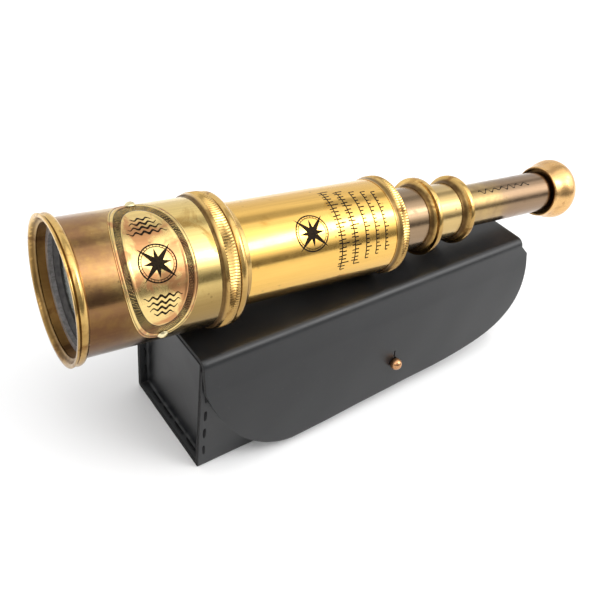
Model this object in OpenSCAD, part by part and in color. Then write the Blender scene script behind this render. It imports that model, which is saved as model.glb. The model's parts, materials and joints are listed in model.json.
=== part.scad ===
// Three-draw brass hand telescope lying on its closed leather flap case.
// Frame: origin at the centre of the case's bottom face, +Z up, +X towards the eyepiece end,
// -Y towards the flap. The telescope's own pieces are turned about its axis, with the axial
// distance counted from the front lip, and on_axis() lays them on the lid.

/* [Case] */
// Length of the case along X
case_l = 182; // [176:1:190]
// Depth of the leather wrap along Y, without the flap
case_w = 56.6; // [56.2:0.2:60]
// Height of the case over the lid
case_h = 63; // [62.6:0.2:66]
// Thickness of the wrap and the end panels
leather_t = 1.2; // [1:0.1:1.4]
// Thickness of the lid leather
lid_t = 2; // [1.6:0.1:2.2]
// Outer radius of the fold along the lid's back edge
back_fold_r = 3; // [2.4:0.1:3.4]
// Outer radius of the wrap's two bottom edges
bottom_fold_r = 1.6; // [1.4:0.1:4]
// Depth of the stitched rim outside each end panel
rim_depth = 4.2; // [3.6:0.2:6]

/* [Flap] */
// Thickness of the flap leather
flap_t = 1.8; // [1.4:0.1:2]
// Outer radius of the fold along the lid's front edge
front_fold_r = 4.1; // [3.8:0.1:4.4]
// Lean of the hanging flap away from the case front, in degrees
flap_lean = 8; // [4:0.5:9]
// Length of the flap below its fold
flap_drop = 55.2; // [54:0.1:59]
// How much higher the flap's bottom edge ends at the right, where the leather is cut shorter
flap_rise = 2.8; // [0:0.1:3.5]
// How far the right edge of the flap bows out past the case
flap_bow = 6; // [1:0.1:7]
// Reach of the rounded bottom corner along the left edge of the flap
left_corner_w = 42; // [30:1:70]
// Reach of the rounded bottom corner along the right edge of the flap
right_corner_w = 70; // [30:1:70]

/* [Closing stud] */
// Place of the stud along X
stud_x = 8.5; // [-20:0.5:20]
// Height of the stud above the bottom face
stud_z = 23.2; // [20:0.2:30]
// Radius of the stud's ball
stud_ball_r = 2.6; // [2:0.1:3]
// Distance from the case front to the centre of the ball
stud_reach = 9.6; // [9:0.1:11]

/* [Telescope tubes] */
// Radius of the front lip of the objective rim
rim_r = 27; // [26:0.1:27]
// Outer radius of the front tube
front_tube_r = 24.8; // [24:0.1:25]
// Largest radius of the knurled collar
collar_r = 26.2; // [26:0.1:27]
// Outer radius of the barrel
barrel_r = 20.3; // [20:0.1:20.6]
// Largest radius of the barrel's end ring
barrel_ring_r = 21.4; // [20.9:0.1:21.6]
// Outer radius of the first draw
draw1_r = 14; // [13.8:0.1:14.4]
// Outer radius of the second draw
draw2_r = 12.8; // [12.6:0.1:12.9]
// Outer radius of the third draw
draw3_r = 10; // [9.8:0.1:10.2]
// Wall of the front tube and the barrel
barrel_wall = 0.8; // [0.6:0.1:1]
// Wall of the draws
draw_wall = 0.6; // [0.5:0.05:0.7]
// Radial clearance of each draw in its bush and of each stop in its bore
slide_gap = 0.05; // [0.02:0.01:0.08]

/* [Telescope pose] */
// Place of the front lip's centre along X
lip_x = -134.6; // [-136:0.1:-130]
// Place of the front lip's centre along Y
lip_y = 0.1; // [-4:0.05:2]
// Turn of the telescope about Z, in degrees
tele_yaw = -3.5; // [-4:0.1:0]
// Gap left between the telescope's rings and the lid
rest_gap = 0.25; // [0.1:0.05:0.4]

/* [Hidden] */
$fn = 96;

// Axial places along the telescope, from the front lip
collar_z = 57;
barrel_ring_z = 138.8;
barrel_end = 142.4;
draw1_ring_z = 159.7;
draw1_end = 165;
draw2_ring_z = 180.8;
draw2_end = 186.1;
cup_z = 245.5;
cup_end = 262.5;
draw3_end = cup_end - 10;

seat_gap = 0.02;          // gap between pieces that are fixed together
edge_gap = 0.15;          // gap between the leather edges that meet at a fold
front_bore = front_tube_r - barrel_wall;
barrel_bore = barrel_r - barrel_wall;
draw1_bore = draw1_r - draw_wall;
draw2_bore = draw2_r - draw_wall;
draw3_bore = draw3_r - draw_wall;
tele_pitch = asin((collar_r - barrel_ring_r) / (barrel_ring_z - collar_z));
lip_z = case_h + rest_gap + collar_r * cos(tele_pitch) + collar_z * sin(tele_pitch);

brass = "goldenrod";
old_brass = "rosybrown";
dark_brass = "saddlebrown";
leather = "dimgray";
glass = "lightblue";

// ---- helpers ----

// Points along an arc in the plane
function arc(cx, cy, r, from, to, steps = 8) =
    [for (i = [0:steps]) let (a = from + (to - from) * i / steps) [cx + r * cos(a), cy + r * sin(a)]];

// Points along a cubic curve with two handles
function curve(a, b, c, d, steps = 10) =
    [for (i = [0:steps]) let (t = i / steps, s = 1 - t)
        s * s * s * a + 3 * s * s * t * b + 3 * s * t * t * c + t * t * t * d];

function backwards(list) = [for (i = [len(list) - 1:-1:0]) list[i]];

// Lays pieces turned about +Z along the telescope's axis as it rests on the lid
module on_axis()
    translate([lip_x, lip_y, lip_z]) rotate([0, 90 + tele_pitch, tele_yaw]) children();

// Extrudes a Y-Z outline along X, centred
module along_x(length)
    rotate([90, 0, 90]) translate([0, 0, -length / 2]) linear_extrude(length) children();

// A plain tube from z1 to z2
module pipe(outer, inner, z1, z2)
    translate([0, 0, z1]) difference() {
        cylinder(r = outer, h = z2 - z1);
        translate([0, 0, -1]) cylinder(r = inner, h = z2 - z1 + 2);
    }

// A turned piece from its radius and height outline
module turned(outline)
    rotate_extrude() polygon(outline);

// Radius of a lens face that bulges this much over the lens radius r
function lens_face(r, bulge) = (r * r + bulge * bulge) / (2 * bulge);

// Depth of a lens face below its crown, at a distance from the axis
function sag(r, bulge, at) = let (face_r = lens_face(r, bulge)) face_r - sqrt(face_r * face_r - at * at);

// A lens with two equal convex faces between z1 and z2
module lens(r, z1, z2, bulge) {
    face_r = lens_face(r, bulge);
    half = asin(r / face_r);
    outline = concat(
        arc(0, z1 + face_r, face_r, -90, -90 + half, 6),
        arc(0, z2 - face_r, face_r, 90 - half, 90, 6)
    );
    turned([for (p = outline) [max(p[0], 0), p[1]]]);
}

// ---- leather case ----

wrap_top_front = case_h - front_fold_r - 1.4;
wrap_top_back = case_h - back_fold_r - edge_gap;

// Outline of a strip that goes down the front, along the bottom and up the back
function strip_edge(inset, corner, top_front, top_back) =
    let (half = case_w / 2 - inset, low = inset, r = max(corner - inset, 0.4))
    concat(
        [[-half, top_front]],
        arc(-half + r, low + r, r, 180, 270),
        arc(half - r, low + r, r, 270, 360),
        [[half, top_back]]
    );

module case_wrap() color(leather) difference() {
    along_x(case_l) polygon(concat(
        strip_edge(0, bottom_fold_r, wrap_top_front, wrap_top_back),
        backwards(strip_edge(leather_t, bottom_fold_r, wrap_top_front, wrap_top_back))
    ));
    on_stud() translate([0, 0, -leather_t - 1]) cylinder(r = shank_r + seat_gap, h = leather_t + 2, $fn = 48);
}

panel_top = case_h - lid_t - 0.3;
panel_front_top = wrap_top_front;

// One end panel, dished so that its rim lies inside the wrap: side is -1 at the left, 1 at the right
module end_panel(side) {
    snug = leather_t + seat_gap;
    rim_out = strip_edge(snug, bottom_fold_r, panel_front_top, wrap_top_back);
    rim_in = strip_edge(snug + leather_t, bottom_fold_r, panel_front_top, wrap_top_back);
    rim_x = side * (case_l / 2 - rim_depth / 2);
    plate_x = side * (case_l / 2 - rim_depth - leather_t / 2);
    fold_y = case_w / 2 - back_fold_r;
    color(leather) {
        translate([rim_x, 0, 0]) along_x(rim_depth + 0.02)
            polygon(concat(rim_out, backwards(rim_in)));
        translate([plate_x, 0, 0]) along_x(leather_t)
            polygon(concat(rim_out, [[fold_y + 0.5, wrap_top_back], [fold_y - 0.3, panel_top],
                                     [-case_w / 2 + snug + 2, panel_top]]));
    }
}

module left_end_panel() end_panel(-1);
module right_end_panel() end_panel(1);

thread_r = 0.4;
stitch_l = 6.5;
stitch_pitch = 10.6;

// Stitches of one rim: rows up the front and back, inside and outside, and one row along the bottom
module rim_stitches(side) {
    row_x = side * (case_l / 2 - 2.4);
    inner_face = case_w / 2 - 2 * leather_t - seat_gap - thread_r;
    outer_face = case_w / 2 + thread_r;
    color("black") {
        for (i = [0:4]) for (y = [-1, 1])
            translate([row_x, y * inner_face, 7 + i * stitch_pitch]) cylinder(r = thread_r, h = stitch_l, $fn = 16);
        for (i = [0:3]) translate([row_x, outer_face, 7 + i * stitch_pitch])
            cylinder(r = thread_r, h = stitch_l, $fn = 16);
        for (i = [0:3]) translate([row_x, -21 + i * stitch_pitch, 2 * leather_t + seat_gap + thread_r])
            rotate([-90, 0, 0]) cylinder(r = thread_r, h = stitch_l, $fn = 16);
    }
}

module left_stitches() rim_stitches(-1);
module right_stitches() rim_stitches(1);

stud_y = -case_w / 2;
neck_r = 1.3;
shank_r = 1.1;
washer_t = 0.5;

// Lays pieces turned about +Z along the stud, outwards from the case front
module on_stud() translate([stud_x, stud_y, stud_z]) rotate([90, 0, 0]) children();

module closing_stud() color("peru") on_stud() {
    translate([0, 0, -leather_t - washer_t]) cylinder(r = shank_r, h = leather_t + washer_t + 1, $fn = 48);
    translate([0, 0, seat_gap]) cylinder(r = 3.4, h = 0.8, $fn = 48);
    translate([0, 0, seat_gap]) cylinder(r = neck_r, h = stud_reach - seat_gap, $fn = 48);
    translate([0, 0, stud_reach]) sphere(r = stud_ball_r, $fn = 48);
}

module stud_washer() color("peru") on_stud()
    pipe(3.2, shank_r + seat_gap, -leather_t - washer_t - seat_gap, -leather_t - seat_gap);

lid_front = -case_w / 2 + 2.3;

module lid_panel() color(leather) {
    back = case_w / 2 - back_fold_r;
    hinge = case_h - back_fold_r;
    along_x(case_l) polygon(concat(
        [[lid_front + edge_gap, case_h - lid_t], [lid_front + edge_gap, case_h]],
        arc(back, hinge, back_fold_r, 90, 0),
        arc(back, hinge, back_fold_r - lid_t, 0, 90)
    ));
}

// The slot lets the stud's ball out as the lid turns up with the flap hanging
module flap() color(leather) {
    fold_z = case_h - front_fold_r;
    edge_y = lid_front - front_fold_r * cos(flap_lean);
    edge_z = fold_z + front_fold_r * sin(flap_lean);
    half = case_l / 2;
    low = -flap_drop;
    low_right = low + flap_rise;
    left = curve([-half, -11], [-half + 6, -31], [-half + 20, low + 3], [-half + left_corner_w, low]);
    right = curve(
        [half + flap_bow - 1, -5], [half + flap_bow + 5.6, -43.4], [half - 12.8, low_right + 1.5],
        [half - right_corner_w, low_right]
    );
    slot_r = stud_ball_r + 0.5;
    slot_top = stud_z - edge_z + 0.9;
    slot_drop = 13;
    along_x(case_l) polygon(concat(
        arc(lid_front, fold_z, front_fold_r, 90, 180 - flap_lean),
        arc(lid_front, fold_z, front_fold_r - flap_t, 180 - flap_lean, 90)
    ));
    translate([0, edge_y, edge_z]) rotate([-flap_lean, 0, 0])
        translate([0, flap_t, 0]) rotate([90, 0, 0]) linear_extrude(flap_t) difference() {
            polygon(concat([[-half, 0]], left, backwards(right), [[half, 0]]));
            translate([stud_x, slot_top]) circle(r = slot_r, $fn = 48);
            translate([stud_x, slot_top - slot_drop]) circle(r = slot_r, $fn = 48);
            translate([stud_x - slot_r, slot_top - slot_drop]) square([2 * slot_r, slot_drop]);
        }
}

// ---- telescope: front section and barrel ----

module objective_rim() color(brass) on_axis() turned(concat(
    [[25.4, 0.3], [25.8, 0], [rim_r - 0.2, 0], [rim_r, 0.3], [rim_r, 0.6], [rim_r - 0.6, 1]],
    arc(front_tube_r + 0.4, 2.6, rim_r - 0.1 - front_tube_r - 0.4, -48, 75, 8),
    [[front_tube_r + seat_gap, 4.7], [front_tube_r + seat_gap, 2.2], [front_bore - 0.2, 2.2], [front_bore - 0.2, 1.9]]
));

retainer_z = 5.4;
retainer_t = 1.8;
cell_z = retainer_z + retainer_t + 0.1;
cell_l = 7.7;

module objective_retainer() color("gray") on_axis()
    pipe(front_bore - seat_gap, 21.3, retainer_z, retainer_z + retainer_t);

lens_r = 20;
lens_t = 4.4;
lens_bulge = 1.5;
lens_seat_r = 18.8;
lens_seat_z = cell_z + 2.3;
lens_front = lens_seat_z - sag(lens_r, lens_bulge, lens_seat_r) + seat_gap;
lens_rear = lens_front + lens_t;

module objective_cell() color("dimgray") on_axis() turned([
    [20.8, cell_z], [front_bore - seat_gap, cell_z], [front_bore - seat_gap, cell_z + cell_l],
    [lens_r + seat_gap, cell_z + cell_l], [lens_r + seat_gap, lens_seat_z],
    [lens_seat_r, lens_seat_z], [lens_seat_r, cell_z + 1.5]
]);

module objective_lens() color(glass) on_axis() lens(lens_r, lens_front, lens_rear, lens_bulge);

// Presses on the rear face of the lens, a little inside its edge
module lens_spring_ring() color(dark_brass) on_axis() {
    touch_z = lens_rear - sag(lens_r, lens_bulge, lens_seat_r) + seat_gap;
    pipe(lens_r, lens_seat_r, touch_z, touch_z + 1.8);
}

module front_tube() color(old_brass) on_axis() pipe(front_tube_r, front_bore, 2.3, 56);

plate_z = 30;
plate_half_w = 13.7;
plate_half_arc = 31;
plate_turn = 46;
plate_t = 0.5;

// Turns a piece from the telescope's top side towards the front of the case, along the axis
module round_axis(angle, z) rotate([0, 0, angle]) translate([0, 0, z]) children();

// Oval plate bent round the tube: its outline is an ellipse when laid flat
module name_plate() color("khaki") on_axis() round_axis(plate_turn, plate_z) intersection() {
    pipe(front_tube_r + seat_gap + plate_t, front_tube_r + seat_gap, -plate_half_w - 1, plate_half_w + 1);
    rotate([0, -90, 0]) linear_extrude(30) polygon([
        for (t = [0:5:355])
            [plate_half_w * cos(t), front_tube_r * sin(plate_half_arc * sin(t) / front_tube_r * 180 / PI)]
    ]);
}

screw_arc = 66.5;
screw_r = 1.9;

// Two slotted round-head screws, one at each end of the oval
module plate_screws() color("lightyellow") on_axis() for (a = [-1, 1])
    round_axis(plate_turn + a * screw_arc, plate_z + 1) rotate([0, -90, 0])
        translate([0, 0, front_tube_r + plate_t + 0.1]) difference() {
            cylinder(r1 = screw_r, r2 = 1.2, h = 1.1, $fn = 32);
            translate([-3, -0.25, 0.6]) cube([6, 0.5, 1]);
        }

module knurled_collar() color(brass) on_axis() turned(concat(
    [[front_tube_r + seat_gap, 52.3]],
    arc(collar_r - 0.3, 52.3, collar_r - front_tube_r - 0.35, 178, 110, 5),
    [[collar_r - 0.3, 54.6], [collar_r, 55], [collar_r, 58.8], [collar_r - 0.3, 59.1],
     [collar_r - 1.1, 59.3], [collar_r - 1.1, 59.7]],
    arc(collar_r - 2, 61.3, 1.7, -62, 85, 6),
    [[collar_r - 3.6, 63.1], [21.4, 63.9], [21, 64.5], [20.9, 66.6], [barrel_r + seat_gap, 66.6],
     [barrel_r + seat_gap, 56.1], [front_tube_r + seat_gap, 56.1]]
));

module barrel_tube() color(brass) on_axis() pipe(barrel_r, barrel_bore, 54, barrel_ring_z);

bush_t = 0.7;
sleeve_z = 125;

module barrel_end_ring() color(brass) on_axis() turned([
    [draw1_r + slide_gap + bush_t + seat_gap, sleeve_z], [barrel_bore - seat_gap, sleeve_z],
    [barrel_bore - seat_gap, barrel_ring_z + seat_gap], [barrel_r + seat_gap, barrel_ring_z + seat_gap],
    [barrel_r + seat_gap, 136], [barrel_r + 0.25, 136], [barrel_r + 0.4, 137.4],
    [barrel_ring_r - 0.2, barrel_ring_z - 0.2], [barrel_ring_r, barrel_ring_z], [barrel_ring_r, barrel_end - 0.6],
    [barrel_ring_r - 0.5, barrel_end], [draw1_r + slide_gap + bush_t + seat_gap, barrel_end]
]);

module barrel_bush() color("olive") on_axis()
    pipe(draw1_r + slide_gap + bush_t, draw1_r + slide_gap, sleeve_z, barrel_end - 0.2);

// ---- draws ----

// End ring of a draw: a dark cove that flares to a thin lip
module end_ring(tube_r, bore, lip_r, z1, z2) {
    lip_z = z2 - 2.3;
    tube_end = z2 - 2.4;
    flare = lip_r - tube_r - 0.3;
    turned(concat(
        [[tube_r + seat_gap, z1]],
        arc(tube_r + 0.3 + flare, z1, flare, 178, 120, 6),
        [[lip_r - 0.2, lip_z], [lip_r, lip_z + 0.3], [lip_r, z2 - 0.6], [lip_r - 0.4, z2],
         [bore, z2], [bore, tube_end + seat_gap], [tube_r + seat_gap, tube_end + seat_gap]]
    ));
}

draw1_inner = 79.3;
draw2_inner = 100.8;
draw3_inner = 166;
draw1_bush_z = 150;
draw2_bush_z = 174;
stop_l = 5;

module draw1_tube() color(old_brass) on_axis() pipe(draw1_r, draw1_bore, draw1_inner, draw1_end - 2.4);

module draw1_stop() color(dark_brass) on_axis()
    pipe(barrel_bore - slide_gap, draw1_r + seat_gap, draw1_inner, draw1_inner + stop_l);

module draw1_end_ring() color(brass) on_axis()
    end_ring(draw1_r, draw1_bore, 17.6, draw1_ring_z, draw1_end);

module draw1_bush() color("olive") on_axis()
    pipe(draw1_bore - seat_gap, draw2_r + slide_gap, draw1_bush_z, draw1_end - 0.2);

module draw2_tube() color(brass) on_axis() pipe(draw2_r, draw2_bore, draw2_inner, draw2_end - 2.4);

module draw2_stop() color(dark_brass) on_axis()
    pipe(draw1_bore - slide_gap, draw2_r + seat_gap, draw2_inner, draw2_inner + stop_l);

module draw2_end_ring() color(brass) on_axis()
    end_ring(draw2_r, draw2_bore, 15.9, draw2_ring_z, draw2_end);

module draw2_bush() color("olive") on_axis()
    pipe(draw2_bore - seat_gap, draw3_r + slide_gap, draw2_bush_z, draw2_end - 0.2);

module draw3_tube() color(old_brass) on_axis() pipe(draw3_r, draw3_bore, draw3_inner + 2, draw3_end);

// A spacer's end touches the face of its lens at the spacer's bore
erector_bore = 8.4;
erector_r = erector_bore - seat_gap;
erector_t = 3.2;
erector_bulge = 1;
flange_r = 7;
spacer_bore = 7.7;
erector1_z = draw3_inner + 2 - sag(erector_r, erector_bulge, flange_r) + seat_gap;
erector2_z = 194;

module erector_cell() color(dark_brass) on_axis() {
    pipe(draw2_bore - slide_gap, flange_r, draw3_inner, draw3_inner + 2);
    pipe(draw2_bore - slide_gap, draw3_r + seat_gap, draw3_inner + 2, draw3_inner + stop_l);
    pipe(draw3_bore - seat_gap, erector_bore, draw3_inner + 2, 198);
}

module erector_lenses() color(glass) on_axis() for (z = [erector1_z, erector2_z])
    lens(erector_r, z, z + erector_t, erector_bulge);

module erector_spacer() color(dark_brass) on_axis() {
    reach = sag(erector_r, erector_bulge, spacer_bore) - seat_gap;
    pipe(erector_r, spacer_bore, erector1_z + erector_t - reach, erector2_z + reach);
}

eyepiece_r = draw3_bore - seat_gap;
eyepiece_t = 4;
field_stop_r = 6.5;
field_stop_end = 226.4;
field_bulge = 1.3;
eye_bulge = 1;
eyepiece_bore = 8.6;
field_lens_z = field_stop_end - sag(eyepiece_r, field_bulge, field_stop_r) + seat_gap;
eye_lens_z = draw3_end - eyepiece_t;

module field_stop() color(dark_brass) on_axis() pipe(eyepiece_r, field_stop_r, field_stop_end - 3, field_stop_end);

module field_lens() color(glass) on_axis() lens(eyepiece_r, field_lens_z, field_lens_z + eyepiece_t, field_bulge);

module eyepiece_spacer() color(dark_brass) on_axis() pipe(
    eyepiece_r, eyepiece_bore,
    field_lens_z + eyepiece_t - sag(eyepiece_r, field_bulge, eyepiece_bore) + seat_gap,
    eye_lens_z + sag(eyepiece_r, eye_bulge, eyepiece_bore) - seat_gap
);

module eye_lens() color(glass) on_axis() lens(eyepiece_r, eye_lens_z, eye_lens_z + eyepiece_t, eye_bulge);

eye_hole_r = 4;

module eyecup() color(brass) on_axis() turned(concat(
    [[11.5, cup_z], [12.2, cup_z], [12.5, cup_z + 0.4]],
    curve([12.7, cup_z + 1.5], [13.2, cup_z + 4.5], [14.7, cup_z + 6], [14.9, cup_z + 9.4], 6),
    curve([14.9, cup_z + 9.9], [14.6, cup_z + 13.5], [12, cup_z + 16.6], [8.4, cup_end], 6),
    [[6.4, cup_end - 0.6], [eye_hole_r, cup_end - 3], [eye_hole_r, cup_end - 5.5], [7, cup_end - 9.9],
     [draw3_r + seat_gap, cup_end - 9.9], [draw3_r + seat_gap, cup_z + 2.2], [11.5, cup_z + 2.2]]
));

// ---- assembly ----

case_wrap();
left_end_panel();
right_end_panel();
left_stitches();
right_stitches();
stud_washer();
closing_stud();
lid_panel();
flap();
objective_rim();
objective_retainer();
objective_cell();
objective_lens();
lens_spring_ring();
front_tube();
name_plate();
plate_screws();
knurled_collar();
barrel_tube();
barrel_end_ring();
barrel_bush();
draw1_tube();
draw1_stop();
draw1_end_ring();
draw1_bush();
draw2_tube();
draw2_stop();
draw2_end_ring();
draw2_bush();
draw3_tube();
erector_cell();
erector_lenses();
erector_spacer();
field_stop();
field_lens();
eyepiece_spacer();
eye_lens();
eyecup();
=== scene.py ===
"""Looks of a three-draw brass hand telescope lying on its black leather flap case.

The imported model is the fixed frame. Each sub-assembly below is a class that holds its sizes, builds its
meshes in millimetres about the telescope's axis or in the frame, and dresses them. Lengths are in
millimetres until a piece is placed, when they become metres.
"""

from __future__ import annotations

import json
import logging
import math
from collections.abc import Callable, Iterable, Iterator, Sequence
from contextlib import contextmanager
from dataclasses import dataclass, field
from enum import Enum

import bpy
from mathutils import Matrix, Quaternion, Vector

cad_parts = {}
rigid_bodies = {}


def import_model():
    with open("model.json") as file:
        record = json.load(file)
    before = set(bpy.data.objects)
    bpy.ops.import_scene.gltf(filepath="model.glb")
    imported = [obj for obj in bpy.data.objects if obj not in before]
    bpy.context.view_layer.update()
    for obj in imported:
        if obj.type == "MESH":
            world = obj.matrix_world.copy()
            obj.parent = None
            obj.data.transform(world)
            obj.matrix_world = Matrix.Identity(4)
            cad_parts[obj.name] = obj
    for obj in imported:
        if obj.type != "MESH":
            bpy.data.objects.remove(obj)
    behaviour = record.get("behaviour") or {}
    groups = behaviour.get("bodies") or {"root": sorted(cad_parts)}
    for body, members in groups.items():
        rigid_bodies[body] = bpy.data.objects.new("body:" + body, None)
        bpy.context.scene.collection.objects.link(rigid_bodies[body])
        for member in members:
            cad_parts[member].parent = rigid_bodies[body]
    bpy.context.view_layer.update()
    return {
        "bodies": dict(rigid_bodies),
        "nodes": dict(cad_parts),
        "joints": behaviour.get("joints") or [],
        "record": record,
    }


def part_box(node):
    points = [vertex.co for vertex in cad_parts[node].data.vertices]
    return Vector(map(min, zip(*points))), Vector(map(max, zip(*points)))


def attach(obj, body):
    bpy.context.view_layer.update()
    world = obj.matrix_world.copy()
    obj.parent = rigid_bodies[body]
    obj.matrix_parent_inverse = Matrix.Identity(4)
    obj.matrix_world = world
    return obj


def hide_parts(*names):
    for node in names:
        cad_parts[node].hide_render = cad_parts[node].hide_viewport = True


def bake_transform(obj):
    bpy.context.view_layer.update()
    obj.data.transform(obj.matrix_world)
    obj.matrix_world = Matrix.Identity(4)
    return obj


log = logging.getLogger("telescope")

# a millimetre in metres, the vertices in a full turn, and how near vertices are the same, in millimetres
MM = 0.001
ROUND = 192
SAME_POINT = 1e-4
# where the front tube begins and ends, in millimetres behind the front lip
FRONT_TUBE_ENDS = (2.3, 56.0)

Colour = tuple[float, float, float]
Point2 = tuple[float, float]
Point3 = tuple[float, float, float]
Mapping = Callable[[float, float], Point3]
Depth = Callable[[float, float], float]


# ---------------------------------------------------------------------------------------------------
# Modelling by hand: selections, turned pieces and sheets
# ---------------------------------------------------------------------------------------------------


def select_only(*objects: bpy.types.Object) -> None:
    """Selects these objects and nothing else, and makes the first one active.

    Args:
        objects: The objects, in object mode.
    """
    bpy.ops.object.select_all(action="DESELECT")
    for item in objects:
        item.select_set(True)
    bpy.context.view_layer.objects.active = objects[0]


@contextmanager
def editing(obj: bpy.types.Object) -> Iterator[bpy.types.Object]:
    """Edit mode on one object, with everything in it selected.

    Args:
        obj: The mesh object.

    Yields:
        The object, in edit mode.
    """
    select_only(obj)
    bpy.ops.object.mode_set(mode="EDIT")
    bpy.ops.mesh.select_all(action="SELECT")
    try:
        yield obj
    finally:
        bpy.ops.object.mode_set(mode="OBJECT")


def named(obj: bpy.types.Object, name: str) -> bpy.types.Object:
    """Gives an object and its mesh one name.

    Args:
        obj: The object.
        name: Its new name.

    Returns:
        The object.
    """
    obj.name = name
    obj.data.name = name
    return obj


def pick_vertices(obj: bpy.types.Object, wanted: Callable[[Vector], bool]) -> None:
    """Selects the vertices that a test on their place accepts, for the next edit.

    Args:
        obj: The mesh object, in object mode.
        wanted: The test on a vertex's place.
    """
    mesh = obj.data
    mesh.polygons.foreach_set("select", [False] * len(mesh.polygons))
    mesh.edges.foreach_set("select", [False] * len(mesh.edges))
    for vertex in mesh.vertices:
        vertex.select = wanted(vertex.co)


def apply_modifier(obj: bpy.types.Object, kind: str, **settings: object) -> None:
    """Adds a modifier, sets it and applies it.

    Args:
        obj: The mesh object.
        kind: The modifier's type.
        settings: Its properties by name.
    """
    modifier = obj.modifiers.new(kind.title(), kind)
    for key, value in settings.items():
        setattr(modifier, key, value)
    select_only(obj)
    bpy.ops.object.modifier_apply(modifier=modifier.name)


def smooth_by_angle(obj: bpy.types.Object, degrees: float = 35.0) -> None:
    """Smooth shading with edges sharper than the angle left crisp."""
    select_only(obj)
    bpy.ops.object.shade_smooth_by_angle(angle=math.radians(degrees))


def join_all(objects: Sequence[bpy.types.Object], name: str) -> bpy.types.Object:
    """Joins several mesh objects into one.

    Args:
        objects: The objects, of which the first takes in the rest.
        name: The joined piece's name.

    Returns:
        The joined piece, with its place in its mesh.
    """
    select_only(*objects)
    bpy.ops.object.join()
    joined = bpy.context.view_layer.objects.active
    select_only(joined)
    bpy.ops.object.transform_apply(location=True, rotation=True, scale=True)
    return named(joined, name)


def copy_of(obj: bpy.types.Object) -> bpy.types.Object:
    """A copy of an object with a mesh of its own.

    Args:
        obj: The mesh object.

    Returns:
        The copy, in the scene.
    """
    twin = obj.copy()
    twin.data = obj.data.copy()
    bpy.context.scene.collection.objects.link(twin)
    return twin


def set_out(model: bpy.types.Object, places: Iterable[Matrix], name: str) -> bpy.types.Object:
    """Copies a small piece to each of its places, joins the copies and removes the model.

    Args:
        model: The piece, modelled once about the origin.
        places: The place and turn of each copy.
        name: The joined piece's name.

    Returns:
        The joined piece.
    """
    copies = []
    for place in places:
        twin = copy_of(model)
        twin.data.transform(place)
        copies.append(twin)
    bpy.data.objects.remove(model)
    return join_all(copies, name)


def fill_open_loops() -> None:
    """Closes the open loops of the mesh in edit mode, such as a turned piece's poles."""
    bpy.ops.mesh.select_all(action="DESELECT")
    bpy.ops.mesh.select_non_manifold()
    bpy.ops.mesh.fill_holes(sides=0)


def face_outwards() -> None:
    """Turns every face of the mesh in edit mode outwards."""
    bpy.ops.mesh.select_all(action="SELECT")
    bpy.ops.mesh.normals_make_consistent(inside=False)


def arc(cx: float, cy: float, r: float, start: float, end: float, steps: int = 8) -> list[Point2]:
    """Points along an arc.

    Args:
        cx: The middle's first coordinate.
        cy: The middle's second coordinate.
        r: The radius.
        start: The angle of the first point, in degrees.
        end: The angle of the last point, in degrees.
        steps: How many chords it has.

    Returns:
        The points, one more than the chords.
    """
    angles = (math.radians(start + (end - start) * i / steps) for i in range(steps + 1))
    return [(cx + r * math.cos(a), cy + r * math.sin(a)) for a in angles]


def curve(a: Point2, b: Point2, c: Point2, d: Point2, steps: int = 10) -> list[Point2]:
    """Points along a cubic curve.

    Args:
        a: The first point.
        b: The handle after it.
        c: The handle before the last point.
        d: The last point.
        steps: How many chords it has.

    Returns:
        The points, one more than the chords.
    """
    points = []
    for i in range(steps + 1):
        t = i / steps
        s = 1 - t
        weights = (s * s * s, 3 * s * s * t, 3 * s * t * t, t * t * t)
        points.append(tuple(sum(w * p[k] for w, p in zip(weights, (a, b, c, d))) for k in (0, 1)))
    return points


def turned(name: str, outline: Sequence[Point2], closed: bool = True,
           around: int = ROUND) -> bpy.types.Object:
    """Turns an outline about +Z, as on a lathe: a ring of vertices is extruded from point to point.

    Args:
        name: The piece's name.
        outline: Radius and height of each point, in millimetres.
        closed: True where the last point joins the first.
        around: Vertices in a full turn.

    Returns:
        The turned piece, in millimetres about the origin.
    """
    r0, z0 = outline[0]
    bpy.ops.object.select_all(action="DESELECT")
    bpy.ops.mesh.primitive_circle_add(vertices=around, radius=r0, location=(0, 0, 0), enter_editmode=False)
    piece = named(bpy.context.active_object, name)
    with editing(piece):
        bpy.ops.transform.translate(value=(0, 0, z0))
        path = list(outline[1:]) + ([outline[0]] if closed else [])
        r_last, z_last = r0, z0
        for r, z in path:
            bpy.ops.mesh.extrude_region_move(TRANSFORM_OT_translate={"value": (0, 0, z - z_last)})
            k = r / r_last
            bpy.ops.transform.resize(value=(k, k, 1), center_override=(0, 0, z))
            r_last, z_last = r, z
        bpy.ops.mesh.select_all(action="SELECT")
        bpy.ops.mesh.remove_doubles(threshold=SAME_POINT)
        face_outwards()
    return piece


def note_recess(piece: bpy.types.Object, depth: Depth) -> None:
    """Writes how deep in a recess each vertex lies, from 0 to 1, for the tarnish and painted shade that
    darken the hollows.

    Args:
        piece: A turned piece in millimetres about the origin.
        depth: The depth at a radius and height.
    """
    values = [depth(math.hypot(v.co.x, v.co.y), v.co.z) for v in piece.data.vertices]
    attribute = piece.data.attributes.new("recess", "FLOAT", "POINT")
    attribute.data.foreach_set("value", values)


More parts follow.
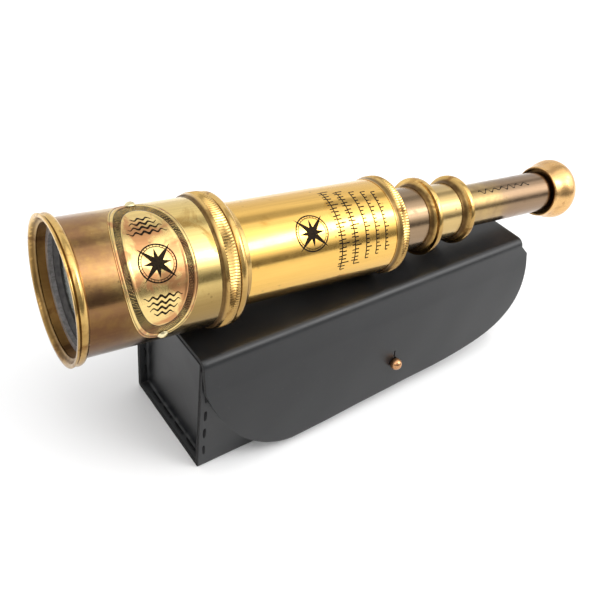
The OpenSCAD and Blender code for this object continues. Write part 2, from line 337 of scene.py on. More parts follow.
def knurl(piece: bpy.types.Object, z_low: float, z_high: float, r_low: float, depth: float,
          around: int) -> None:
    """Presses every second column of a turned band inwards, so that it has axial teeth.

    Args:
        piece: The turned piece, with an even number of columns.
        z_low: Lower end of the band.
        z_high: Upper end of the band.
        r_low: Only vertices outside this radius are pressed.
        depth: Depth of the teeth as a share of the radius.
        around: Columns in a full turn.
    """

    def on_tooth_gap(co: Vector) -> bool:
        """Whether a vertex lies between two teeth of the band."""
        column = round(math.atan2(co.y, co.x) / math.tau * around)
        return column % 2 == 1 and z_low <= co.z <= z_high and math.hypot(co.x, co.y) > r_low

    pick_vertices(piece, on_tooth_gap)
    select_only(piece)
    bpy.ops.object.mode_set(mode="EDIT")
    bpy.ops.transform.resize(value=(1 - depth, 1 - depth, 1), center_override=(0, 0, 0))
    bpy.ops.object.mode_set(mode="OBJECT")


def mapped_grid(name: str, across: int, down: int, place: Mapping) -> bpy.types.Object:
    """A grid whose vertices are placed by a function of (u, v), each from 0 to 1.

    Args:
        name: The piece's name.
        across: Cells along u.
        down: Cells along v.
        place: The place of a vertex, in millimetres.

    Returns:
        The sheet, one surface with no thickness.
    """
    bpy.ops.object.select_all(action="DESELECT")
    bpy.ops.mesh.primitive_grid_add(x_subdivisions=across, y_subdivisions=down, size=1, location=(0, 0, 0))
    sheet = named(bpy.context.active_object, name)
    for vertex in sheet.data.vertices:
        vertex.co = place(vertex.co.x + 0.5, vertex.co.y + 0.5)
    return sheet


def box_at(low: Sequence[float], high: Sequence[float]) -> bpy.types.Object:
    """A block between two corners, as a start for a cutter.

    Args:
        low: Its lowest corner.
        high: Its highest corner.

    Returns:
        The block.
    """
    bpy.ops.object.select_all(action="DESELECT")
    bpy.ops.mesh.primitive_cube_add(size=1, location=(0, 0, 0))
    block = bpy.context.active_object
    size = [b - a for a, b in zip(low, high)]
    middle = [(b + a) / 2 for a, b in zip(low, high)]
    block.data.transform(Matrix.Translation(middle) @ Matrix.Diagonal((*size, 1)))
    return block


def cut_away(piece: bpy.types.Object, cutter: bpy.types.Object) -> None:
    """Takes the cutter's shape out of the piece and removes the cutter."""
    apply_modifier(piece, "BOOLEAN", operation="DIFFERENCE", object=cutter, solver="EXACT")
    bpy.data.objects.remove(cutter)


# ---------------------------------------------------------------------------------------------------
# The frame: the telescope's axis and the pieces' places
# ---------------------------------------------------------------------------------------------------


@dataclass(frozen=True)
class TelescopeAxis:
    """The telescope's axis at rest, with the front lip's centre as its start.

    Attributes:
        start: The front lip's centre, in metres.
        along: Unit vector from the objective to the eyepiece.
    """

    start: Vector
    along: Vector

    @classmethod
    def from_frame(cls, frame: dict) -> TelescopeAxis:
        """Reads the axis from the draws' joint and the front tube's box.


        Returns:
            The axis.
        """
        tube_middle = (FRONT_TUBE_ENDS[0] + FRONT_TUBE_ENDS[1]) / 2 * MM
        joint = next(j for j in frame["joints"] if j["name"] == "draw1_slide")
        along = Vector(joint["axis"]).normalized()
        low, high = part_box("front_tube")
        return cls((low + high) / 2 - along * tube_middle, along)

    def matrix(self) -> Matrix:
        """From millimetres about +Z, with -X upwards, to metres in the frame."""
        side = Vector((0, 0, 1)).cross(self.along).normalized()
        up = self.along.cross(side)
        turn = Matrix((-up, side, self.along)).transposed().to_4x4()
        return Matrix.Translation(self.start) @ turn @ Matrix.Scale(MM, 4)

    def lay(self, piece: bpy.types.Object) -> bpy.types.Object:
        """Moves a piece's mesh from the lathe onto the axis and returns the piece."""
        piece.data.transform(self.matrix())
        return piece


def to_metres(piece: bpy.types.Object) -> bpy.types.Object:
    """Turns a mesh in millimetres into metres in place and returns the piece."""
    piece.data.transform(Matrix.Scale(MM, 4))
    return piece


class Body(Enum):
    """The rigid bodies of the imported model."""

    CASE = "case"
    LID = "lid"
    FLAP = "flap"
    TELESCOPE = "telescope"
    DRAW1 = "draw1"
    DRAW2 = "draw2"
    DRAW3 = "draw3"


def fit_out(piece: bpy.types.Object, body: Body, slot: str, materials: Sequence[bpy.types.Material],
            *nodes: str) -> bpy.types.Object:
    """Gives a new piece its materials and its body, and hides the CAD nodes it stands for.

    Args:
        piece: The finished mesh.
        body: The body it rides on.
        slot: Not used.
        materials: Its materials, in the order of its slots.
        nodes: The CAD nodes that it replaces.

    Returns:
        The piece.
    """
    faces = piece.data.polygons
    indices = [face.material_index for face in faces]
    piece.data.materials.clear()
    for material in materials:
        piece.data.materials.append(material)
    faces.foreach_set("material_index", [min(i, len(materials) - 1) for i in indices])
    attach(piece, body.value)
    if nodes:
        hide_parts(*nodes)
    log.info("%s rides on %s, %d faces", piece.name, body.value, len(piece.data.polygons))
    return piece


# ---------------------------------------------------------------------------------------------------
# Shader building
# ---------------------------------------------------------------------------------------------------


class Shading:
    """Short-hand for adding and linking nodes in a material or a group."""

    def __init__(self, tree: bpy.types.NodeTree) -> None:
        """Starts on an empty tree."""
        self.tree = tree
        tree.nodes.clear()

    def add(self, kind: str, inputs: dict[str | int, object] | None = None,
            **settings: object) -> bpy.types.Node:
        """Adds a node.

        Args:
            kind: The node's type without the ShaderNode prefix.
            inputs: Values or sockets for its inputs, by name or number.
            settings: Its properties by name.

        Returns:
            The node.
        """
        node = self.tree.nodes.new("ShaderNode" + kind)
        for key, value in settings.items():
            setattr(node, key, value)
        for key, value in (inputs or {}).items():
            self.feed(node.inputs[key], value)
        return node

    def feed(self, socket: bpy.types.NodeSocket, value: object) -> None:
        """Sets an input to a value or links it to an output.

        Args:
            socket: The input.
            value: A value of its kind, or an output to link.
        """
        if isinstance(value, bpy.types.NodeSocket):
            self.tree.links.new(value, socket)
        else:
            socket.default_value = value

    def maths(self, operation: str, a: object, b: object = 0.0) -> bpy.types.NodeSocket:
        """The result of a sum on two values."""
        return self.add("Math", {0: a, 1: b}, operation=operation).outputs[0]

    def noise(self, vector: bpy.types.NodeSocket, scale: float, detail: float = 3.0,
              rough: float = 0.55) -> bpy.types.NodeSocket:
        """Smooth noise from about 0.3 to 0.7.

        Args:
            vector: The coordinates.
            scale: Lumps per unit.
            detail: How many finer layers are added.
            rough: How strong the finer layers are.

        Returns:
            The noise.
        """
        inputs = {"Vector": vector, "Scale": scale, "Detail": detail, "Roughness": rough}
        return self.add("TexNoise", inputs).outputs["Fac"]

    def spread(self, value: bpy.types.NodeSocket, low: float, high: float, to_low: float = 0.0,
               to_high: float = 1.0) -> bpy.types.NodeSocket:
        """Stretches a value's range to another, clamped and eased.

        Args:
            value: The value.
            low: Start of its range.
            high: End of its range.
            to_low: What the start becomes.
            to_high: What the end becomes.

        Returns:
            The stretched value.
        """
        inputs = {"Value": value, "From Min": low, "From Max": high, "To Min": to_low, "To Max": to_high}
        return self.add("MapRange", inputs, interpolation_type="SMOOTHSTEP").outputs["Result"]

    def blend(self, share: object, a: object, b: object, mode: str = "MIX") -> bpy.types.NodeSocket:
        """Mixes two colours, each given with three numbers or as an output.

        Args:
            share: How much of b is mixed in, from 0 to 1.
            a: The first colour.
            b: The second colour.
            mode: How they are mixed.

        Returns:
            The mixed colour.
        """
        a, b = ((*c, 1.0) if isinstance(c, tuple) else c for c in (a, b))
        return self.add("Mix", {0: share, 6: a, 7: b}, data_type="RGBA", blend_type=mode).outputs[2]

    def tinted(self, share: object, a: object, b: object) -> bpy.types.NodeSocket:
        """Colour a multiplied by b, by a share."""
        return self.blend(share, a, b, "MULTIPLY")

    def stretched(self, vector: bpy.types.NodeSocket, scale: Point3) -> bpy.types.NodeSocket:
        """Coordinates scaled apart along each axis."""
        return self.add("Mapping", {"Vector": vector, "Scale": scale}).outputs[0]

    def group(self, tree: bpy.types.NodeTree, inputs: dict[str, object]) -> bpy.types.Node:
        """Places a node group with its own values.

        Args:
            tree: The group.
            inputs: Values or outputs for its inputs, by name.

        Returns:
            The group's node.
        """
        node = self.tree.nodes.new("ShaderNodeGroup")
        node.node_tree = tree
        for key, value in inputs.items():
            self.feed(node.inputs[key], value)
        return node

    def finish(self, inputs: dict[str, object]) -> None:
        """Ends a material with a Principled surface.

        Args:
            inputs: Values or outputs for the surface's inputs, by name.
        """
        surface = self.add("BsdfPrincipled", inputs)
        output = self.add("OutputMaterial")
        self.tree.links.new(surface.outputs[0], output.inputs["Surface"])


def new_material(name: str) -> tuple[bpy.types.Material, Shading]:
    """An empty node material.

    Args:
        name: The material's name.

    Returns:
        The material and the short-hand for its tree.
    """
    material = bpy.data.materials.new(name)
    material.use_nodes = True
    return material, Shading(material.node_tree)


def new_group(name: str, inputs: dict[str, float | str],
              outputs: Iterable[str]) -> tuple[Shading, object, object]:
    """An empty shader group with its sockets.

    Args:
        name: The group's name.
        inputs: Default of each number input, or "vector" for coordinates.
        outputs: Names of the number outputs.

    Returns:
        The short-hand for its tree, its input node's outputs and its output node's inputs.
    """
    tree = bpy.data.node_groups.new(name, "ShaderNodeTree")
    for key, default in inputs.items():
        kind = "NodeSocketVector" if default == "vector" else "NodeSocketFloat"
        socket = tree.interface.new_socket(name=key, in_out="INPUT", socket_type=kind)
        if default != "vector":
            socket.default_value = default
    for key in outputs:
        tree.interface.new_socket(name=key, in_out="OUTPUT", socket_type="NodeSocketFloat")
    shading = Shading(tree)
    given = tree.nodes.new("NodeGroupInput").outputs
    result = tree.nodes.new("NodeGroupOutput").inputs
    return shading, given, result


class Effects:
    """Shader groups that several finishes share."""

    def __init__(self) -> None:
        """Builds each group once."""
        self.tarnish = self.build_tarnish()
        self.marks = self.build_marks()
        self.grain = self.build_grain()

    @staticmethod
    def build_tarnish() -> bpy.types.NodeTree:
        """Cloudy tarnish, small spots and smudges on handled brass."""
        inputs = {"Vector": "vector", "Cloud Scale": 60.0, "Cloud Cover": 0.5, "Spot Scale": 420.0}
        s, given, result = new_group("brass_tarnish", inputs, ("Clouds", "Spots", "Smudges"))
        clouds = s.noise(given["Vector"], 1.0, 4.0, 0.6)
        node = clouds.node
        s.feed(node.inputs["Scale"], given["Cloud Scale"])
        node.inputs["Distortion"].default_value = 0.8
        low = s.maths("SUBTRACT", 0.78, s.maths("MULTIPLY", given["Cloud Cover"], 0.5))
        high = s.maths("ADD", low, 0.16)
        cover = s.add("MapRange", {"Value": clouds, "From Min": low, "From Max": high},
                      interpolation_type="SMOOTHSTEP")
        s.feed(result["Clouds"], cover.outputs["Result"])
        cells = s.add("TexVoronoi", {"Vector": given["Vector"], "Scale": given["Spot Scale"],
                                     "Randomness": 1.0})
        sizes = s.maths("MULTIPLY", cells.outputs["Color"], 0.34)
        spots = s.maths("SUBTRACT", sizes, cells.outputs["Distance"])
        patches = s.spread(s.noise(given["Vector"], 90.0, 2.0), 0.56, 0.68)
        s.feed(result["Spots"], s.maths("MULTIPLY", s.spread(spots, -0.02, 0.06), patches))
        s.feed(result["Smudges"], s.spread(s.noise(given["Vector"], 170.0, 5.0, 0.7), 0.35, 0.7))
        return s.tree

    @staticmethod
    def build_marks() -> bpy.types.NodeTree:
        """Fine marks: streaks along the tube, rings round it, and slow dents."""
        s, given, result = new_group(
            "brass_marks", {"Vector": "vector", "Streaks": 0.5, "Dents": 0.5}, ("Height", "Streaks"))
        streaks = s.noise(s.stretched(given["Vector"], (900.0, 900.0, 22.0)), 1.0, 3.0, 0.6)
        rings = s.noise(s.stretched(given["Vector"], (40.0, 40.0, 2600.0)), 1.0, 2.0, 0.5)
        dents = s.noise(s.stretched(given["Vector"], (60.0, 60.0, 26.0)), 1.0, 1.0, 0.4)
        both = s.maths("ADD", streaks, s.maths("MULTIPLY", rings, 0.5))
        fine = s.maths("MULTIPLY", both, given["Streaks"])
        slow = s.maths("MULTIPLY", s.maths("MULTIPLY", dents, 14.0), given["Dents"])
        s.feed(result["Height"], s.maths("ADD", fine, slow))
        s.feed(result["Streaks"], s.spread(streaks, 0.35, 0.65))
        return s.tree

    @staticmethod
    def build_grain() -> bpy.types.NodeTree:
        """Smooth leather: faint pebbles, pores and slow wrinkles."""
        s, given, result = new_group(
            "leather_grain", {"Vector": "vector", "Pebble": 0.5, "Wrinkle": 0.5}, ("Height", "Pores"))
        inputs = {"Vector": given["Vector"], "Scale": 1300.0, "Randomness": 0.9}
        cells = s.add("TexVoronoi", inputs, feature="SMOOTH_F1")
        cells.inputs["Smoothness"].default_value = 0.6
        pebble = s.maths("MULTIPLY", cells.outputs["Distance"], given["Pebble"])
        wrinkle = s.maths("MULTIPLY", s.noise(given["Vector"], 55.0, 3.0, 0.5), given["Wrinkle"])
        pores = s.spread(s.noise(given["Vector"], 2400.0, 2.0, 0.5), 0.6, 0.72)
        height = s.maths("ADD", pebble, s.maths("MULTIPLY", wrinkle, 6.0))
        s.feed(result["Height"], s.maths("SUBTRACT", height, s.maths("MULTIPLY", pores, 0.15)))
        s.feed(result["Pores"], pores)
        return s.tree


@dataclass(frozen=True)
class BrassFinish:
    """A brass surface, from bright polish to brown patina.

    Attributes:
        name: The material's name.
        clean: Colour where it is polished.
        worn: Colour of the cloudy tarnish.
        dark: Colour of the spots, and of the tarnish and painted shade in recesses.
        cover: Share of the surface under the clouds.
        roughness: Roughness where it is clean.
        cloud_scale: Clouds per metre.
        front_tint: Colour that takes over towards the front, or None.
        tint_from: Axial place where the front tint is full, in millimetres.
        tint_to: Axial place where it has gone.
        dents: Depth of the slow dents.
        streaks: Depth of the fine streaks.
        painted_underside_shade: Painted shade and dark reflection on the lower half: how much darker its
            colour is made there.
    """

    name: str
    clean: Colour
    worn: Colour
    dark: Colour = (0.10, 0.055, 0.02)
    cover: float = 0.4
    roughness: float = 0.16
    cloud_scale: float = 55.0
    front_tint: Colour | None = None
    tint_from: float = 0.0
    tint_to: float = 1.0
    dents: float = 0.5
    streaks: float = 0.5
    painted_underside_shade: float = 0.0

    def build(self, effects: Effects, axis: TelescopeAxis) -> bpy.types.Material:
        """Makes the material.

        Args:
            effects: The shared groups.
            axis: The axis that its pattern follows.

        Returns:
            The material.
        """
        material, s = new_material(self.name)
        place = s.add("TexCoord").outputs["Object"]
        turn = (axis.matrix() @ Matrix.Scale(1 / MM, 4)).inverted()
        local = s.add("Mapping", {"Vector": place, "Location": turn.translation,
                                  "Rotation": turn.to_euler()})
        vector = local.outputs[0]
        tarnish = s.group(effects.tarnish, {"Vector": vector, "Cloud Scale": self.cloud_scale,
                                            "Cloud Cover": self.cover}).outputs
        marks = s.group(effects.marks, {"Vector": vector, "Streaks": self.streaks,
                                        "Dents": self.dents}).outputs
        colour = s.blend(tarnish["Clouds"], self.clean, self.worn)
        if self.front_tint:
            z = s.add("SeparateXYZ", {0: vector}).outputs["Z"]
            wander = s.maths("MULTIPLY", s.maths("SUBTRACT", s.noise(vector, 70.0, 4.0), 0.5), 0.045)
            share = s.spread(s.maths("ADD", z, wander), self.tint_from * MM, self.tint_to * MM, 1.0, 0.0)
            patchy = s.blend(s.maths("MULTIPLY", tarnish["Smudges"], 0.4), self.front_tint, self.worn)
            colour = s.blend(share, colour, patchy)
        # painted shade: the lower half is multiplied darker, standing in for the shade and dark reflections
        # under the tube
        if self.painted_underside_shade:
            down = s.add("SeparateXYZ", {0: vector}).outputs["X"]
            painted_low_shade = s.maths("MULTIPLY", s.spread(down, -14 * MM, 0.0), self.painted_underside_shade)
            colour = s.tinted(painted_low_shade, colour, (0.40, 0.36, 0.34))
        colour = s.tinted(s.maths("MULTIPLY", marks["Streaks"], 0.18), colour, (0.62, 0.55, 0.45))
        colour = s.blend(s.maths("MULTIPLY", tarnish["Spots"], 0.4), colour, self.dark)
        # painted shade and tarnish: the colour is blended towards the dark colour by recess depth, darkening
        # the hollows
        recess = s.add("Attribute", attribute_name="recess").outputs["Fac"]
        shade_and_tarnish = s.maths("MULTIPLY", recess, s.spread(tarnish["Smudges"], 0.0, 1.0, 0.85, 1.0))
        colour = s.blend(shade_and_tarnish, colour, self.dark)
        rough = s.maths("MULTIPLY_ADD", tarnish["Smudges"], 0.07)
        rough.node.inputs[2].default_value = self.roughness
        rough = s.maths("ADD", rough, s.maths("MULTIPLY", tarnish["Clouds"], 0.08))
        rough = s.maths("ADD", rough, s.maths("MULTIPLY", recess, 0.22))
        bump = s.add("Bump", {"Height": marks["Height"], "Strength": 0.35, "Distance": 0.00002})
        s.finish({"Base Color": colour, "Metallic": 1.0, "Roughness": rough, "Normal": bump.outputs[0]})
        return material


@dataclass(frozen=True)
class LeatherFinish:
    """Smooth black leather with a satin face.

    Attributes:
        name: The material's name.
        colour: Colour of the face.
        faded: Colour where it has been rubbed.
        roughness: Roughness of the face.
        pebble: Depth of the grain.
    """

    name: str
    colour: Colour
    faded: Colour
    roughness: float = 0.33
    pebble: float = 0.35

    def build(self, effects: Effects) -> bpy.types.Material:
        """Makes the material.

        Args:
            effects: The shared groups.

        Returns:
            The material.
        """
        material, s = new_material(self.name)
        vector = s.add("TexCoord").outputs["Object"]
        grain = s.group(effects.grain, {"Vector": vector, "Pebble": self.pebble, "Wrinkle": 0.6}).outputs
        rubbed = s.spread(s.noise(vector, 38.0, 5.0, 0.6), 0.45, 0.68)
        colour = s.blend(s.maths("MULTIPLY", rubbed, 0.55), self.colour, self.faded)
        colour = s.blend(s.maths("MULTIPLY", grain["Pores"], 0.5), colour, (0.006, 0.006, 0.007))
        dust = s.spread(s.noise(vector, 900.0, 1.0), 0.74, 0.78)
        colour = s.blend(s.maths("MULTIPLY", dust, 0.06), colour, (0.22, 0.22, 0.22))
        rough = s.maths("MULTIPLY_ADD", rubbed, 0.08)
        rough.node.inputs[2].default_value = self.roughness
        bump = s.add("Bump", {"Height": grain["Height"], "Strength": 0.3, "Distance": 0.00008})
        s.finish({"Base Color": colour, "Roughness": rough, "Specular IOR Level": 0.42,
                  "Normal": bump.outputs[0]})
        return material


@dataclass(frozen=True)
class PlainFinish:
    """A plain finish with faint mottling, for inner pieces, thread and felt.

    Attributes:
        name: The material's name.
        colour: Base colour.
        shade: Darker colour of the mottling.
        roughness: Roughness.
        metallic: 1 for bare metal.
        scale: Mottles per metre.
        relief: Depth of its surface in metres.
        specular: Strength of its reflection.
    """

    name: str
    colour: Colour
    shade: Colour
    roughness: float = 0.6
    metallic: float = 0.0
    scale: float = 300.0
    relief: float = 0.00005
    specular: float = 0.5

    def build(self) -> bpy.types.Material:
        """Makes the material."""
        material, s = new_material(self.name)
        vector = s.add("TexCoord").outputs["Object"]
        mottle = s.noise(vector, self.scale, 4.0, 0.65)
        colour = s.blend(s.spread(mottle, 0.35, 0.65), self.colour, self.shade)
        rough = s.spread(mottle, 0.3, 0.7, self.roughness - 0.06, self.roughness + 0.06)
        bump = s.add("Bump", {"Height": mottle, "Strength": 0.4, "Distance": self.relief})
        s.finish({"Base Color": colour, "Metallic": self.metallic, "Roughness": rough,
                  "Specular IOR Level": self.specular, "Normal": bump.outputs[0]})
        return material


def glass_material() -> bpy.types.Material:
    """Lens glass with a thin film of dust."""
    material, s = new_material("lens_glass")
    vector = s.add("TexCoord").outputs["Object"]
    haze = s.spread(s.noise(vector, 260.0, 4.0), 0.4, 0.75, 0.01, 0.07)
    s.finish({"Base Color": (0.80, 0.84, 0.79, 1.0), "Transmission Weight": 0.72, "IOR": 1.52,
              "Roughness": haze})
    return material


@dataclass
class Finishes:
    """Every material of the object, by what it covers.

    Attributes:
        axis: The axis that the brass's patterns follow.
        effects: The shader groups that the materials share.
    """

    axis: TelescopeAxis
    effects: Effects = field(init=False)

    def __post_init__(self) -> None:
        """Builds the materials."""
        self.effects = Effects()
        fx, axis = self.effects, self.axis
        self.polished = BrassFinish("polished_brass", (0.80, 0.49, 0.13), (0.62, 0.34, 0.07),
                                    cover=0.35, roughness=0.13).build(fx, axis)
        # the ring and front tube brass carry painted shade on their lower halves
        self.ring = BrassFinish("ring_brass", (0.72, 0.47, 0.16), (0.38, 0.20, 0.06), cover=0.5,
                                roughness=0.17, cloud_scale=120.0, painted_underside_shade=0.75).build(fx, axis)
        self.front = BrassFinish("front_tube_brass", (0.76, 0.56, 0.21), (0.50, 0.31, 0.09), cover=0.5,
                                 roughness=0.15, cloud_scale=75.0, front_tint=(0.31, 0.165, 0.078),
                                 tint_from=12.0, tint_to=38.0, painted_underside_shade=1.0).build(fx, axis)
        self.draw_one = BrassFinish("first_draw_patina", (0.29, 0.20, 0.12), (0.23, 0.14, 0.085), cover=0.5,
                                    roughness=0.17).build(fx, axis)
        self.draw_two = BrassFinish("second_draw_brass", (0.55, 0.39, 0.165), (0.43, 0.27, 0.105), cover=0.4,
                                    roughness=0.17).build(fx, axis)
        self.draw_three = BrassFinish("third_draw_patina", (0.27, 0.18, 0.11), (0.21, 0.13, 0.08), cover=0.5,
                                      roughness=0.18, front_tint=(0.43, 0.30, 0.13), tint_from=200.0,
                                      tint_to=222.0).build(fx, axis)
        self.cup = BrassFinish("eyecup_brass", (0.72, 0.44, 0.18), (0.54, 0.31, 0.13), cover=0.5,
                               roughness=0.24, cloud_scale=120.0).build(fx, axis)
        self.plate = BrassFinish("plate_brass", (0.80, 0.59, 0.24), (0.56, 0.28, 0.12),
                                 dark=(0.009, 0.006, 0.005), cover=0.68, roughness=0.2, cloud_scale=95.0,
                                 dents=1.0).build(fx, axis)
        self.pale = BrassFinish("screw_brass", (0.82, 0.72, 0.44), (0.60, 0.46, 0.22),
                                roughness=0.24).build(fx, axis)
        self.stud = BrassFinish("stud_brass", (0.55, 0.29, 0.14), (0.38, 0.18, 0.08), cover=0.4,
                                roughness=0.25, cloud_scale=300.0).build(fx, axis)
        self.leather = LeatherFinish("black_leather", (0.009, 0.0095, 0.0105),
                                     (0.015, 0.016, 0.0175)).build(fx)
        self.edge = PlainFinish("leather_edge", (0.009, 0.008, 0.008), (0.004, 0.004, 0.004), 0.6,
                                scale=900.0, specular=0.2).build()
        self.inner = BrassFinish("inner_brass", (0.40, 0.22, 0.07), (0.18, 0.09, 0.03), cover=0.6,
                                 roughness=0.3).build(fx, axis)
        self.thread = PlainFinish("waxed_thread", (0.006, 0.006, 0.007), (0.003, 0.003, 0.003), 0.55,
                                  scale=1500.0, specular=0.15).build()
        self.black = PlainFinish("blackened_brass", (0.035, 0.03, 0.027), (0.015, 0.013, 0.012), 0.55,
                                 scale=500.0).build()
        self.grey = PlainFinish("grey_ring", (0.30, 0.29, 0.29), (0.20, 0.19, 0.19), 0.5, 0.6,
                                scale=700.0).build()
        self.felt = PlainFinish("green_felt", (0.05, 0.09, 0.05), (0.02, 0.04, 0.02), 0.95, scale=2500.0,
                                relief=0.0002).build()
        self.ink = PlainFinish("engraving_black", (0.012, 0.009, 0.007), (0.03, 0.02, 0.012), 0.6, 1.0,
                               scale=1500.0).build()
        self.glass = glass_material()


# ---------------------------------------------------------------------------------------------------
# Telescope
# ---------------------------------------------------------------------------------------------------


def blacken_inside(piece: bpy.types.Object, radius: float) -> None:
    """Gives the faces that look at the axis, inside a radius, the piece's second material.

    Args:
        piece: The turned piece.
        radius: The radius.
    """
    for face in piece.data.polygons:
        c = face.center
        inward = c.x * face.normal.x + c.y * face.normal.y < 0
        if inward and math.hypot(c.x, c.y) < radius:
            face.material_index = 1


def finish_turned(piece: bpy.types.Object, recess: Depth, crease: float, axis: TelescopeAxis, body: Body,
                  material: bpy.types.Material, node: str) -> None:
    """Finishes a turned brass piece: its recesses, its crisp edges, its place and its material.

    Args:
        piece: The turned piece, in millimetres about the origin.
        recess: How deep in a recess a radius and height lie.
        crease: Edges sharper than this stay crisp, in degrees.
        axis: The telescope's axis.
        body: The body it rides on.
        material: Its brass.
        node: The CAD node it stands for.
    """
    note_recess(piece, recess)
    smooth_by_angle(piece, crease)
    fit_out(axis.lay(piece), body, "polished_brass", (material,), node)


@dataclass
class Tube:
    """A drawn tube.

    Attributes:
        node: The CAD node it stands for.
        outer: Outer radius.
        bore: Inner radius.
        z1: Front end.
        z2: Rear end.
        soft_edge: How far its edges are broken.
    """

    node: str
    outer: float
    bore: float
    z1: float
    z2: float
    soft_edge: float = 0.12

    def build(self) -> bpy.types.Object:
        """A tube with broken edges."""
        e = self.soft_edge
        outline = [(self.outer - e, self.z1), (self.outer, self.z1 + e), (self.outer, self.z2 - e),
                   (self.outer - e, self.z2), (self.bore + e, self.z2), (self.bore, self.z2 - e),
                   (self.bore, self.z1 + e), (self.bore + e, self.z1)]
        piece = turned(self.node + "_drawn", outline)
        smooth_by_angle(piece)
        just_outside = 0.01
        blacken_inside(piece, self.bore + just_outside)
        return piece


@dataclass
class Telescope:
    """The telescope's turned pieces, from the objective rim to the barrel's end ring.

    Attributes:
        finishes: The materials.
        axis: The telescope's axis.
        rim_r: Radius of the rim's lip.
        front_r: Outer radius of the front tube.
        front_bore: Its inner radius.
        front_ends: Its front and rear ends.
        collar_r: Radius of the collar's knurled band.
        barrel_r: Outer radius of the barrel.
        barrel_bore: Its inner radius.
        barrel_z: Its front end, inside the collar.
        ring_r: Radius of the end ring's coin-edged lip.
        ring_z: Front of that lip.
        ring_end: Rear face of the end ring.
        fit_gap: Gap between seats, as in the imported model.
        collar_teeth: Teeth round the collar.
        ring_teeth: Teeth round the end ring.
    """

    finishes: Finishes
    axis: TelescopeAxis
    rim_r: float = 27.0
    front_r: float = 24.8
    front_bore: float = 24.0
    front_ends: Point2 = FRONT_TUBE_ENDS
    collar_r: float = 26.2
    barrel_r: float = 20.3
    barrel_bore: float = 19.5
    barrel_z: float = 54.0
    ring_r: float = 21.4
    ring_z: float = 138.8
    ring_end: float = 142.4
    fit_gap: float = 0.02
    collar_teeth: int = 150
    ring_teeth: int = 120

    def build(self) -> None:
        """Makes every new piece of the front section and the barrel."""
        f = self.finishes
        self.rim()
        self.collar()
        self.end_ring()
        front = Tube("front_tube", self.front_r, self.front_bore, *self.front_ends)
        barrel = Tube("barrel_tube", self.barrel_r, self.barrel_bore, self.barrel_z, self.ring_z)
        tubes = ((front, "aged_brass", (f.front, f.inner)),
                 (barrel, "polished_brass", (f.polished, f.black)))
        for tube, slot, materials in tubes:
            fit_out(self.axis.lay(tube.build()), Body.TELESCOPE, slot, materials, tube.node)

    def rim(self) -> None:
        """Objective rim: a thin flared lip, a groove and a fat bead."""
        bead_r = self.rim_r - 0.1 - self.front_r - 0.4
        seat, throat = self.front_r + self.fit_gap, self.front_bore - 0.2
        outline = [(25.3, 0.5), (25.6, 0.12), (25.9, 0.0), (26.75, 0.0), (26.93, 0.08), (27.0, 0.25),
                   (26.95, 0.55), (26.5, 0.9), (26.36, 1.05)]
        outline += arc(self.front_r + 0.4, 2.6, bead_r, -55, 80, 14)
        outline += [(seat, 4.7), (seat, 2.2), (throat, 2.2), (throat, 1.9), (24.4, 1.7), (25.0, 1.2)]

        def recess(radius: float, z: float) -> float:
            """Painted shade and tarnish: dark in the groove behind the lip, and darker in the throat.

            Args:
                radius: The distance from the axis.
                z: The place along the axis.

            Returns:
                The depth, from 0 to 1.
            """
            if 0.8 < z < 1.25 and radius < 26.6:
                return 0.9
            return 0.55 if radius < 25.3 and z < 2.3 else 0.0

        finish_turned(turned("objective_rim_turned", outline), recess, 40, self.axis, Body.TELESCOPE,
                      self.finishes.ring, "objective_rim")

    def collar(self) -> None:
        """Knurled collar: a dark cove, a chamfer, the knurled band, a groove and a plain ridge."""
        r, seat, bore = self.collar_r, self.front_r + self.fit_gap, self.barrel_r + self.fit_gap
        outline = [(seat, 52.3)] + arc(r - 0.3, 52.3, r - self.front_r - 0.35, 178, 108, 8)
        outline += [(r - 0.45, 54.2), (r - 0.2, 54.65), (r, 55.0), (r, 56.9), (r, 58.8), (r - 0.3, 59.1),
                    (r - 1.05, 59.25), (r - 1.1, 59.4), (r - 1.1, 59.75)]
        outline += arc(r - 2, 61.3, 1.7, -62, 85, 14)
        outline += [(r - 3.2, 63.05), (22.2, 63.3), (21.5, 63.8), (21.1, 64.3), (20.95, 64.8), (20.9, 66.3),
                    (20.75, 66.6), (bore, 66.6), (bore, 56.1), (seat, 56.1)]
        piece = turned("knurled_collar_turned", outline, around=2 * self.collar_teeth)
        knurl(piece, 54.95, 58.9, r - 0.3, 0.012, 2 * self.collar_teeth)

        def recess(radius: float, z: float) -> float:
            """Painted shade and tarnish: dark in the cove and the groove, and darker at the ridge's foot.

            Args:
                radius: The distance from the axis.
                z: The place along the axis.

            Returns:
                The depth, from 0 to 1.
            """
            if z < 54.0:
                return 0.95 * min(1.0, (54.0 - z) / 0.6)
            if 59.15 < z < 59.9:
                return 0.95
            return 0.5 if 63.2 < z < 64.4 else 0.0

        finish_turned(piece, recess, 30, self.axis, Body.TELESCOPE, self.finishes.ring, "knurled_collar")

    def end_ring(self) -> None:
        """Barrel end ring: a shallow cove and a coin-edged lip, with the bush seat inside."""
        r, seat, z, end = self.ring_r, 14.77, self.ring_z, self.ring_end
        gap = self.fit_gap
        bore, barrel = self.barrel_bore - gap, self.barrel_r + gap
        outline = [(seat, 125), (bore, 125), (bore, z + gap), (barrel, z + gap), (barrel, z - 2.8),
                   (20.5, z - 2.8), (20.62, z - 2.2), (20.6, z - 1.6), (20.72, z - 0.9), (r - 0.25, z - 0.3),
                   (r, z), (r, z + 1.3), (r, z + 2.6), (r - 0.08, end - 0.6), (r - 0.35, end - 0.15),
                   (r - 0.8, end), (seat, end)]
        piece = turned("barrel_end_ring_turned", outline, around=2 * self.ring_teeth)
        knurl(piece, z - 0.1, z + 2.8, r - 0.2, 0.014, 2 * self.ring_teeth)

